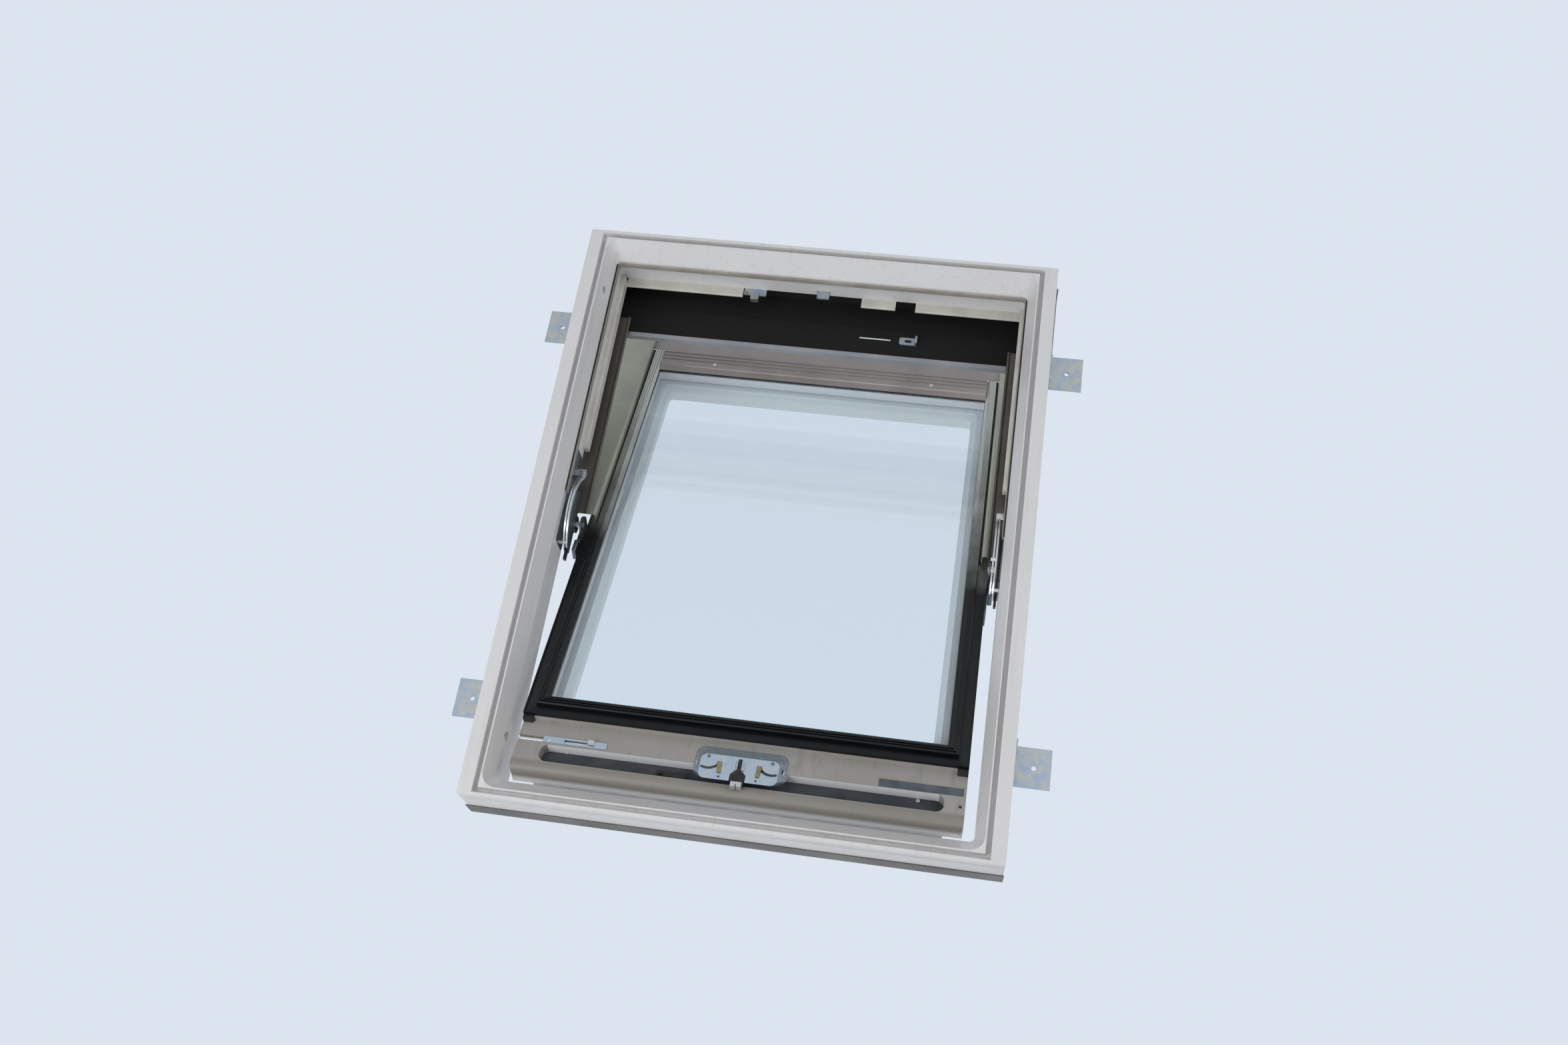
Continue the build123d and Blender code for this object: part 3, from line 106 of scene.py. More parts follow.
floor_half, floor_level = 14, -3.4
floor_form = bmesh.new()
bmesh.ops.create_grid(floor_form, x_segments=1, y_segments=1, size=floor_half)
bmesh.ops.translate(floor_form, vec=(0, 0, floor_level), verts=floor_form.verts)
floor_mesh = bpy.data.meshes.new("floor")
floor_form.to_mesh(floor_mesh)
floor_form.free()
floor = bpy.data.objects.new("floor", floor_mesh)
bpy.context.scene.collection.objects.link(floor)
floor_paint = bpy.data.materials.new("floor_paint")
floor_paint.use_nodes = True
floor_tree = floor_paint.node_tree
floor_shader = floor_tree.nodes["Principled BSDF"]
floor_shader.inputs["Base Color"].default_value = colour("#e2e4e6")
floor_shader.inputs["Emission Color"].default_value = colour("#e4e9ee")
floor_shader.inputs["Roughness"].default_value = 0.9
glow = add(floor_tree, "ShaderNodeMath", {0: seen_or_mirrored(floor_tree), 1: plain_level}, operation="MULTIPLY")
floor_tree.links.new(glow.outputs[0], floor_shader.inputs["Emission Strength"])
floor_mesh.materials.append(floor_paint)

for name, place, size, power in (
    ("key_lamp", (1.7, -1.5, -2.3), 1.6, 34),
    ("fill_lamp", (-2.2, 0.6, -2.0), 2.0, 20),
    ("low_lamp", (0.2, -3.0, -1.2), 2.0, 20),
    ("top_lamp", (0.6, 1.6, 2.6), 2.4, 70),
):
    lamp = bpy.data.objects.new(name, bpy.data.lights.new(name, "AREA"))
    lamp.data.shape = "SQUARE"
    lamp.data.size = size
    lamp.data.energy = power
    lamp.visible_camera = False
    lamp.visible_transmission = False
    lamp.visible_glossy = name != "top_lamp"
    towards = -Vector(place)
    lamp.matrix_world = Matrix.Translation(place) @ towards.to_track_quat("-Z", "Y").to_matrix().to_4x4()
    bpy.context.scene.collection.objects.link(lamp)


# Casing: the fixed ring of the window, rigid polyurethane foamed in a mould and sprayed with a
# white two-pack lacquer. It gives a smooth satin white with a faint orange peel, yellowed clouds,
# grey dust specks and faint streaks that run down the slope.
def new_material(name, roughness, metallic=0.0):
    """A material with its tree, its shader and the position on the piece in millimetres."""
    material = bpy.data.materials.new(name)
    material.use_nodes = True
    tree = material.node_tree
    shader = tree.nodes["Principled BSDF"]
    shader.inputs["Roughness"].default_value = roughness
    shader.inputs["Metallic"].default_value = metallic
    place = add(tree, "ShaderNodeTexCoord")
    millimetres = add(tree, "ShaderNodeMapping", {"Vector": place.outputs["Object"], "Scale": (1000, 1000, 1000)})
    return material, tree, shader, millimetres.outputs[0]


def coat(material, *names):
    """Gives CAD nodes their finish."""
    for name in names:
        nodes[name].data.materials.clear()
        nodes[name].data.materials.append(material)


def lacquered_foam(name, light, dark, stain, dirt):
    """Clouds 160 mm wide, specks of 7 mm, streaks of 11 mm, and orange peel, whose real 1 mm grain
    is drawn at 2.5 mm so that it shows."""
    material, tree, shader, place = new_material(name, 0.36)
    cloud = add(tree, "ShaderNodeTexNoise", {"Vector": place, "Scale": 1 / 160, "Detail": 3.0})
    tone = add(tree, "ShaderNodeMix", {"Factor": cloud.outputs["Fac"], "A": colour(light), "B": colour(dark)},
               data_type="RGBA")
    speck = add(tree, "ShaderNodeTexNoise", {"Vector": place, "Scale": 1 / 7, "Detail": 6.0, "Roughness": 0.75})
    few = add(tree, "ShaderNodeMapRange", {"Value": speck.outputs["Fac"], "From Min": 0.62, "From Max": 0.8,
                                           "To Max": dirt})
    specked = add(tree, "ShaderNodeMix", {"Factor": few.outputs[0], "A": tone.outputs["Result"],
                                          "B": colour(stain)}, data_type="RGBA")
    drawn_out = add(tree, "ShaderNodeMapping", {"Vector": place, "Scale": (1, 0.05, 1)})
    streak = add(tree, "ShaderNodeTexNoise", {"Vector": drawn_out.outputs[0], "Scale": 1 / 11, "Detail": 4.0})
    faint = add(tree, "ShaderNodeMapRange", {"Value": streak.outputs["Fac"], "From Min": 0.55, "From Max": 0.8,
                                             "To Max": dirt * 0.5})
    streaked = add(tree, "ShaderNodeMix", {"Factor": faint.outputs[0], "A": specked.outputs["Result"],
                                           "B": colour(stain)}, data_type="RGBA")
    shine = add(tree, "ShaderNodeMapRange", {"Value": cloud.outputs["Fac"], "To Min": 0.28, "To Max": 0.46})
    peel = add(tree, "ShaderNodeTexNoise", {"Vector": place, "Scale": 1 / 2.5, "Detail": 2.0})
    bump = add(tree, "ShaderNodeBump", {"Strength": 0.08, "Distance": 0.0004, "Height": peel.outputs["Fac"]})
    tree.links.new(streaked.outputs["Result"], shader.inputs["Base Color"])
    tree.links.new(shine.outputs[0], shader.inputs["Roughness"])
    tree.links.new(bump.outputs[0], shader.inputs["Normal"])
    return material


coat(lacquered_foam("casing_lacquer", "#e6e5e6", "#dad8d6", "#a39d92", 0.45), "casing")


# Strips of the casing: a soft grey thermoplastic rubber seal round the head and jambs, pushed into
# a groove, and stiff cream vinyl stop strips beside it. Both have faded unevenly and hold dust.
def extruded_strip(name, fresh, faded, roughness):
    """Faded patches 45 mm wide, and dust drawn at 3 mm, coarser than it is, so that it shows."""
    material, tree, shader, place = new_material(name, roughness)
    cloud = add(tree, "ShaderNodeTexNoise", {"Vector": place, "Scale": 1 / 45, "Detail": 4.0})
    spread = add(tree, "ShaderNodeMapRange", {"Value": cloud.outputs["Fac"], "From Min": 0.3, "From Max": 0.7})
    tone = add(tree, "ShaderNodeMix", {"Factor": spread.outputs[0], "A": colour(fresh), "B": colour(faded)},
               data_type="RGBA")
    speck = add(tree, "ShaderNodeTexNoise", {"Vector": place, "Scale": 1 / 3, "Detail": 3.0})
    few = add(tree, "ShaderNodeMapRange", {"Value": speck.outputs["Fac"], "From Min": 0.6, "From Max": 0.75,
                                           "To Max": 0.5})
    dusty = add(tree, "ShaderNodeMix", {"Factor": few.outputs[0], "A": tone.outputs["Result"],
                                        "B": colour("#7d7870")}, data_type="RGBA")
    shine = add(tree, "ShaderNodeMapRange", {"Value": speck.outputs["Fac"], "To Min": roughness - 0.1,
                                             "To Max": roughness + 0.15})
    bump = add(tree, "ShaderNodeBump", {"Strength": 0.2, "Distance": 0.0002, "Height": speck.outputs["Fac"]})
    tree.links.new(dusty.outputs["Result"], shader.inputs["Base Color"])
    tree.links.new(shine.outputs[0], shader.inputs["Roughness"])
    tree.links.new(bump.outputs[0], shader.inputs["Normal"])
    return material


coat(extruded_strip("grey_seal_rubber", "#aba59c", "#8f897f", 0.6), "head_gasket")
coat(extruded_strip("cream_vinyl", "#dad7cf", "#c6c2b8", 0.45), "head_strip", "jamb_strip_left", "jamb_strip_right")


# Covers: rolled aluminium sheet, folded on a press brake and coated in the coil with polyester
# lacquer. It gives a satin surface with a little metal in it, rain spots, dust and rubbed patches.
def coated_sheet(name, fresh, darker_tone, dust):
    """Clouds 90 mm wide, rain spots 14 mm apart, and grit drawn at 2.2 mm, coarser than it is, so
    that it shows."""
    material, tree, shader, place = new_material(name, 0.38, 0.3)
    cloud = add(tree, "ShaderNodeTexNoise", {"Vector": place, "Scale": 1 / 90, "Detail": 5.0})
    spread = add(tree, "ShaderNodeMapRange", {"Value": cloud.outputs["Fac"], "From Min": 0.32, "From Max": 0.68})
    tone = add(tree, "ShaderNodeMix", {"Factor": spread.outputs[0], "A": colour(fresh), "B": colour(darker_tone)},
               data_type="RGBA")
    drop = add(tree, "ShaderNodeTexVoronoi", {"Vector": place, "Scale": 1 / 14, "Randomness": 1.0})
    rim = add(tree, "ShaderNodeMapRange", {"Value": drop.outputs["Distance"], "From Min": 0.12, "From Max": 0.2,
                                           "To Min": 0.35, "To Max": 0.0})
    spotted = add(tree, "ShaderNodeMix", {"Factor": rim.outputs[0], "A": tone.outputs["Result"],
                                          "B": colour(dust)}, data_type="RGBA")
    grit = add(tree, "ShaderNodeTexNoise", {"Vector": place, "Scale": 1 / 2.2, "Detail": 4.0, "Roughness": 0.8})
    few = add(tree, "ShaderNodeMapRange", {"Value": grit.outputs["Fac"], "From Min": 0.62, "From Max": 0.78,
                                           "To Max": 0.6})
    gritty = add(tree, "ShaderNodeMix", {"Factor": few.outputs[0], "A": spotted.outputs["Result"],
                                         "B": colour("#2b2a27")}, data_type="RGBA")
    shine = add(tree, "ShaderNodeMapRange", {"Value": cloud.outputs["Fac"], "To Min": 0.28, "To Max": 0.55})
    bump = add(tree, "ShaderNodeBump", {"Strength": 0.12, "Distance": 0.0003, "Height": grit.outputs["Fac"]})
    tree.links.new(gritty.outputs["Result"], shader.inputs["Base Color"])
    tree.links.new(shine.outputs[0], shader.inputs["Roughness"])
    tree.links.new(bump.outputs[0], shader.inputs["Normal"])
    return material


coat(coated_sheet("taupe_cover", "#655f58", "#544e47", "#857e74"), "side_cover_left", "side_cover_right",
     "lower_trim_left", "lower_trim_right", "sill_cover")
coat(coated_sheet("blue_grey_cover", "#a0a2a6", "#8f9298", "#b7b9ba"), "hood")


# Lining of the hood: black closed-cell polyethylene foam, cut and glued in steps under the sheet.
# Its near-black is partly painted shade, and stands also for the shade in the cavity under the hood.
# It is dead matt, with a little pale dust, and with open pores that are drawn at 1.6 mm, three
# times their size, so that they show.
liner_foam_and_shade, liner_tree, liner_shader, liner_place = new_material("liner_foam_and_shade", 0.92)
pores = add(liner_tree, "ShaderNodeTexVoronoi", {"Vector": liner_place, "Scale": 1 / 1.6})
lint = add(liner_tree, "ShaderNodeTexNoise", {"Vector": liner_place, "Scale": 1 / 6, "Detail": 6.0})
little = add(liner_tree, "ShaderNodeMapRange", {"Value": lint.outputs["Fac"], "From Min": 0.6, "From Max": 0.85})
foam_and_shade_tone = add(liner_tree, "ShaderNodeMix", {"Factor": little.outputs[0], "A": colour("#060607"),
                                              "B": colour("#171718")}, data_type="RGBA")
pored = add(liner_tree, "ShaderNodeBump", {"Strength": 0.5, "Distance": 0.0005,
                                           "Height": pores.outputs["Distance"]})
liner_tree.links.new(foam_and_shade_tone.outputs["Result"], liner_shader.inputs["Base Color"])
liner_tree.links.new(pored.outputs[0], liner_shader.inputs["Normal"])
coat(liner_foam_and_shade, "head_liner")


# Steel fittings: pressed from strip and zinc plated with a blue passivation. It gives a satin
# blue-white metal with drifting yellow and blue tints, fine rolling lines and dull corroded spots.
def plated_steel(name, blue, yellow, spot, roughness):
    """Tints that drift over 16 mm, and dull spots of 1.8 mm and rolling lines 0.7 mm apart, both
    coarser than they are so that they show."""
    material, tree, shader, place = new_material(name, roughness, 0.9)
    drift = add(tree, "ShaderNodeTexNoise", {"Vector": place, "Scale": 1 / 16, "Detail": 3.0, "Distortion": 0.6})
    spread = add(tree, "ShaderNodeMapRange", {"Value": drift.outputs["Fac"], "From Min": 0.35, "From Max": 0.65})
    tint = add(tree, "ShaderNodeMix", {"Factor": spread.outputs[0], "A": colour(blue), "B": colour(yellow)},
               data_type="RGBA")
    pits = add(tree, "ShaderNodeTexNoise", {"Vector": place, "Scale": 1 / 1.8, "Detail": 5.0, "Roughness": 0.7})
    few = add(tree, "ShaderNodeMapRange", {"Value": pits.outputs["Fac"], "From Min": 0.6, "From Max": 0.72,
                                           "To Max": 0.7})
    dulled = add(tree, "ShaderNodeMix", {"Factor": few.outputs[0], "A": tint.outputs["Result"],
                                         "B": colour(spot)}, data_type="RGBA")
    shine = add(tree, "ShaderNodeMapRange", {"Value": pits.outputs["Fac"], "From Min": 0.35, "From Max": 0.75,
                                             "To Min": roughness - 0.08, "To Max": roughness + 0.25})
    drawn_out = add(tree, "ShaderNodeMapping", {"Vector": place, "Scale": (0.06, 1, 1)})
    lines = add(tree, "ShaderNodeTexNoise", {"Vector": drawn_out.outputs[0], "Scale": 1 / 0.7, "Detail": 3.0})
    bump = add(tree, "ShaderNodeBump", {"Strength": 0.12, "Distance": 0.0002, "Height": lines.outputs["Fac"]})
    tree.links.new(dulled.outputs["Result"], shader.inputs["Base Color"])
    tree.links.new(shine.outputs[0], shader.inputs["Roughness"])
    tree.links.new(bump.outputs[0], shader.inputs["Normal"])
    return material


zinc_plate = plated_steel("zinc_plate", "#a9b9cc", "#c3c4bd", "#7e7f7e", 0.32)
coat(zinc_plate, "fixing_brackets", "keeper", "catch_plate", "hood_arm")
bright_steel = plated_steel("bright_steel", "#c8ccd2", "#d3d3cf", "#9a9a98", 0.2)
coat(bright_steel, "spring_rod")


# Screws of the brackets and the catch plate: cold-headed pan heads with a cross recess, zinc
# plated, and yellow chromated at the catch plate. Their driver marks show as dull spots.
def repeat(form, places):
    """One form with a copy of the given one at each place."""
    pattern = bpy.data.meshes.new("pattern")
    form.to_mesh(pattern)
    form.free()
    several = bmesh.new()
    for place in places:
        before = len(several.verts)
        several.from_mesh(pattern)
        several.verts.ensure_lookup_table()
        bmesh.ops.transform(several, matrix=place, verts=several.verts[before:])
    bpy.data.meshes.remove(pattern)
    return several


def pan_heads(radius, height, places):
    """Pan heads with a cross recess, one at each place; z points out of the head."""
    rounding, land = height * 0.55, radius * 0.12
    arm_reach, arm_half, recess_depth = radius * 0.7, radius * 0.13, height * 0.6
    near_axis = radius * 0.12
    head = bmesh.new()
    bmesh.ops.create_cone(head, cap_ends=True, segments=32, radius1=radius, radius2=radius, depth=height)
    bmesh.ops.translate(head, vec=(0, 0, height / 2), verts=head.verts)
    rim = [edge for edge in head.edges if all(vert.co.z > height / 2 for vert in edge.verts)]
    bmesh.ops.bevel(head, geom=rim, offset=rounding, affect="EDGES", segments=4, profile=0.5, material=-1)
    top = [face for face in head.faces if face.normal.z > 0.99]
    bmesh.ops.inset_individual(head, faces=top, thickness=land)
    for axis in ((1, 0, 0), (0, 1, 0)):
        for side in (1, -1):
            cells = [face for face in head.faces if face.normal.z > 0.99
                     and all(vert.co.xy.length < arm_reach for vert in face.verts)]
            near = dict.fromkeys(vert for face in cells for vert in face.verts)
            around = dict.fromkeys(edge for face in cells for edge in face.edges)
            where = Vector(axis) * side * arm_half
            bmesh.ops.bisect_plane(head, geom=[*near, *around, *cells], plane_co=where, plane_no=axis)
    cross = [face for face in head.faces if face.normal.z > 0.99
             and all(vert.co.xy.length < arm_reach for vert in face.verts)
             and min(abs(face.calc_center_median().x), abs(face.calc_center_median().y)) < near_axis]
    sunk = bmesh.ops.extrude_face_region(head, geom=cross)
    moved = [part for part in sunk["geom"] if isinstance(part, bmesh.types.BMVert)]
    bmesh.ops.translate(head, vec=(0, 0, -recess_depth), verts=moved)
    bmesh.ops.delete(head, geom=cross, context="FACES")
    bmesh.ops.recalc_face_normals(head, faces=head.faces)
    return repeat(head, places)


def make_piece(name, form, material, body, slot, *stands_for):
    """Makes a finished form a piece that rides on a body, and stands for CAD nodes if any are named."""
    sharp_from = math.radians(35)
    for face in form.faces:
        face.smooth = True
    for edge in form.edges:
        edge.smooth = edge.is_manifold and edge.calc_face_angle(0) < sharp_from
    mesh = bpy.data.meshes.new(name)
    form.to_mesh(mesh)
    form.free()
    mesh.materials.append(material)
    piece = bpy.data.objects.new(name, mesh)
    bpy.context.scene.collection.objects.link(piece)
    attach(piece, body)
    if stands_for:
        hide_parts(*stands_for)


to_metres = Matrix.Scale(0.001, 4)
face_down = Matrix.Rotation(math.pi, 4, "X")
bracket_face, bracket_level = 393, -18
bracket_places = []
for side in (1, -1):
    for y in (348, 312, -312, -348):
        out = Matrix.Translation((side * bracket_face, y, bracket_level))
        bracket_places.append(to_metres @ out @ Matrix.Rotation(side * math.pi / 2, 4, "Y"))
make_piece("bracket_screw_heads", pan_heads(4.5, 2.5, bracket_places), zinc_plate, "frame", "zinc_steel",
           "bracket_screws")
yellow_chromate = plated_steel("yellow_chromate", "#b39455", "#c2a866", "#6f5c3a", 0.3)
catch_screw = 127.5, 451.4, 33
catch_place = to_metres @ Matrix.Translation(catch_screw) @ face_down
make_piece("catch_screw", pan_heads(2.7, 1.6, [catch_place]), yellow_chromate, "frame", "zinc_steel")


# Bushes of the barrel bolt: turned white acetal sleeves pressed into the jamb. They are slightly
# shiny, greyed in patches and dusty.
coat(extruded_strip("white_acetal", "#cfd1d1", "#b9bbba", 0.35), "bolt_bushes")


# Friction hinges: zinc plated plates and cases with a glass-filled nylon insert between them, and
# polished spring steel tracks that the sash leaf is gripped by. Old grease darkens the zinc.
def moulded_black(name, black, paler_tone, roughness, grain):
    """Greyed patches 25 mm wide, over a moulded grain whose size is given in millimetres."""
    material, tree, shader, place = new_material(name, roughness)
    cloud = add(tree, "ShaderNodeTexNoise", {"Vector": place, "Scale": 1 / 25, "Detail": 5.0})
    spread = add(tree, "ShaderNodeMapRange", {"Value": cloud.outputs["Fac"], "From Min": 0.45, "From Max": 0.75})
    tone = add(tree, "ShaderNodeMix", {"Factor": spread.outputs[0], "A": colour(black), "B": colour(paler_tone)},
               data_type="RGBA")
    fine = add(tree, "ShaderNodeTexNoise", {"Vector": place, "Scale": 1 / grain, "Detail": 3.0})
    shine = add(tree, "ShaderNodeMapRange", {"Value": fine.outputs["Fac"], "To Min": roughness - 0.12,
                                             "To Max": roughness + 0.15})
    bump = add(tree, "ShaderNodeBump", {"Strength": 0.25, "Distance": 0.0002, "Height": fine.outputs["Fac"]})
    tree.links.new(tone.outputs["Result"], shader.inputs["Base Color"])
    tree.links.new(shine.outputs[0], shader.inputs["Roughness"])
    tree.links.new(bump.outputs[0], shader.inputs["Normal"])
    return material


greased_zinc = plated_steel("greased_zinc", "#6d7884", "#7b7e80", "#414445", 0.36)
coat(greased_zinc, "hinge_plate_left", "hinge_plate_right", "hinge_case_left", "hinge_case_right",
     "sash_hinge_left", "sash_hinge_right")
black_nylon = moulded_black("black_nylon", "#111112", "#2c2c2d", 0.42, 0.8)
coat(black_nylon, "hinge_insert_left", "hinge_insert_right", "vent_link")
coat(bright_steel, "friction_track_left", "friction_track_right", "pivot_pins")


# Sash frame: foamed and lacquered like the casing, with dirt specks and streaks, but its white is
# greyed all over as painted shade. Its inner side keeps the plain white. Behind the glass and on the
# recess's upper wall the white is painted light, and the rounded end of the top rail is darkened
# further as painted shade.
tilt, pivot_level = math.radians(18.8), 63
glass_half, glass_end, rebate_depth = 306.5, -342, 44
recess_place, recess_rim, rail_end = -404, 37, -431
# The two greys stand for the white lacquer in shade, which is painted shade; the stain colour and the 0.7 dirt are
# real specks and streaks.
sash_lacquer = lacquered_foam("sash_lacquer", "#a9a6a0", "#96928b", "#6a645c", 0.7)
sash_tree = sash_lacquer.node_tree
sash_colour = sash_tree.nodes["Principled BSDF"].inputs["Base Color"]
darker_tone = sash_colour.links[0].from_socket
sash_place = add(sash_tree, "ShaderNodeTexCoord")
along_sash = add(sash_tree, "ShaderNodeMapping", {
    "Vector": sash_place.outputs["Object"], "Scale": (1000, 1000, 1000),
    "Rotation": (-tilt, 0, 0), "Location": (0, -pivot_level * math.sin(tilt), -pivot_level * math.cos(tilt))})
sides = add(sash_tree, "ShaderNodeSeparateXYZ", {0: along_sash.outputs[0]})
across = add(sash_tree, "ShaderNodeMath", {0: sides.outputs["X"]}, operation="ABSOLUTE")
between = add(sash_tree, "ShaderNodeMath", {0: across.outputs[0], 1: glass_half}, operation="LESS_THAN")
below_rail = add(sash_tree, "ShaderNodeMath", {0: sides.outputs["Y"], 1: glass_end}, operation="GREATER_THAN")
behind = add(sash_tree, "ShaderNodeMath", {0: sides.outputs["Z"], 1: rebate_depth}, operation="GREATER_THAN")
glazed = add(sash_tree, "ShaderNodeMath", {0: between.outputs[0], 1: below_rail.outputs[0]}, operation="MULTIPLY")
glazed = add(sash_tree, "ShaderNodeMath", {0: glazed.outputs[0], 1: behind.outputs[0]}, operation="MULTIPLY")
inner_side = add(sash_tree, "ShaderNodeMapRange", {"Value": sides.outputs["Z"], "From Min": rebate_depth + 10,
                                                   "From Max": rebate_depth + 20})
recess_wall = add(sash_tree, "ShaderNodeMath", {0: sides.outputs["Y"], 1: recess_place, 2: 0.8},
                  operation="COMPARE")
sunk = add(sash_tree, "ShaderNodeMath", {0: sides.outputs["Z"], 1: recess_rim}, operation="GREATER_THAN")
recess_wall = add(sash_tree, "ShaderNodeMath", {0: recess_wall.outputs[0], 1: sunk.outputs[0]},
                  operation="MULTIPLY")
# Behind the glass and on the recess's upper wall the plain white is painted light; the inner side also keeps the
# plain white.
unshaded_white_zones = add(sash_tree, "ShaderNodeMath", {0: glazed.outputs[0], 1: inner_side.outputs[0]}, operation="MAXIMUM")
unshaded_white_zones = add(sash_tree, "ShaderNodeMath", {0: unshaded_white_zones.outputs[0], 1: recess_wall.outputs[0]}, operation="MAXIMUM")
# The rounded end of the top rail darkens towards its end, which is painted shade.
rail_end_shade = add(sash_tree, "ShaderNodeMapRange", {"Value": sides.outputs["Y"], "From Min": rail_end,
                                              "From Max": rail_end - 6, "To Max": 0.7})
rail_end_shaded = add(sash_tree, "ShaderNodeMix", {"Factor": rail_end_shade.outputs[0], "A": darker_tone,
                                          "B": colour("#7f7b72")}, data_type="RGBA")
# These zones take the plain white, which is painted light, over the painted-shade greys elsewhere.
painted_light_and_shade = add(sash_tree, "ShaderNodeMix", {"Factor": unshaded_white_zones.outputs[0], "A": rail_end_shaded.outputs["Result"],
                                             "B": colour("#ecedee")}, data_type="RGBA")
sash_tree.links.new(painted_light_and_shade.outputs["Result"], sash_colour)
coat(sash_lacquer, "sash_frame")


# Insulating glass: two panes of clear float glass, the inner one with a low-emissivity coating that
# gives a faint blue, held apart by a folded aluminium bar. Light passes it as through a window.
float_glass = bpy.data.materials.new("float_glass")
float_glass.use_nodes = True
glass_tree = float_glass.node_tree
glass_shader = glass_tree.nodes["Principled BSDF"]
glass_shader.inputs["Base Color"].default_value = colour("#f6fafc")
glass_shader.inputs["IOR"].default_value = 1.52
glass_shader.inputs["Transmission Weight"].default_value = 1.0
glass_shader.inputs["Roughness"].default_value = 0.0
glass_rays = add(glass_tree, "ShaderNodeLightPath")
passing = add(glass_tree, "ShaderNodeMath", {0: glass_rays.outputs["Is Shadow Ray"],
                                             1: glass_rays.outputs["Is Diffuse Ray"]}, operation="MAXIMUM")
clear = add(glass_tree, "ShaderNodeBsdfTransparent", {"Color": colour("#fbfdfe")})
glass_mix = add(glass_tree, "ShaderNodeMixShader", {0: passing.outputs[0], 1: glass_shader.outputs[0],
                                                    2: clear.outputs[0]})
glass_tree.links.new(glass_mix.outputs[0], glass_tree.nodes["Material Output"].inputs["Surface"])
coat(float_glass, "outer_pane", "inner_pane")

# The bar is mill-finish aluminium, dulled to a pale grey, with a row of breather holes every 3 mm.
mill_aluminium, bar_tree, bar_shader, bar_place = new_material("mill_aluminium", 0.45, 0.35)
holes = add(bar_tree, "ShaderNodeTexVoronoi", {"Vector": bar_place, "Scale": 1 / 3, "Randomness": 0.0})
open_hole = add(bar_tree, "ShaderNodeMapRange", {"Value": holes.outputs["Distance"], "From Min": 0.16,
                                                 "From Max": 0.22})
bar_tone = add(bar_tree, "ShaderNodeMix", {"Factor": open_hole.outputs[0], "A": colour("#a4a7ab"),
                                           "B": colour("#eceef1")}, data_type="RGBA")
bar_tree.links.new(bar_tone.outputs["Result"], bar_shader.inputs["Base Color"])
coat(mill_aluminium, "spacer_bar")


# Rubber round the glass and at the corners: extruded EPDM, black with a grey bloom and dust.
# The edge seal of the glass is black butyl, and the side seals are a softer foam rubber.
epdm = moulded_black("epdm_rubber", "#141414", "#303031", 0.6, 1.5)
coat(epdm, "edge_seal", "glazing_gasket", "side_seals", "corner_clips")


# Dark lines beside the head seal: thin strips in the black rubber finish along both edges of the grey
# strip, a painted shadow of the gaps to the casing above and below it.
seal_low, seal_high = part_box("head_gasket")
strip_size = 0.0012
gap_shadow_strips = bmesh.new()
for z in (seal_low[2] - strip_size / 2, seal_high[2] + strip_size / 2):
    runs = [((0, seal_high[1] - strip_size, z), (seal_high[0] - seal_low[0], 2 * strip_size, strip_size))]
    for x in (seal_low[0] + strip_size, seal_high[0] - strip_size):
        runs.append(((x, (seal_low[1] + seal_high[1] - strip_size) / 2, z),
                     (2 * strip_size, seal_high[1] - seal_low[1] - strip_size, strip_size)))
    for middle, size in runs:
        run = bmesh.ops.create_cube(gap_shadow_strips, size=1)["verts"]
        bmesh.ops.scale(gap_shadow_strips, vec=size, verts=run)
        bmesh.ops.translate(gap_shadow_strips, vec=middle, verts=run)
bmesh.ops.bevel(gap_shadow_strips, geom=gap_shadow_strips.edges, offset=strip_size / 4, affect="EDGES", segments=2, profile=0.5, material=-1)
# These strips are painted shadow in the gaps beside the seal.
make_piece("seal_gap_shadows", gap_shadow_strips, epdm, "frame", "rubber_black")


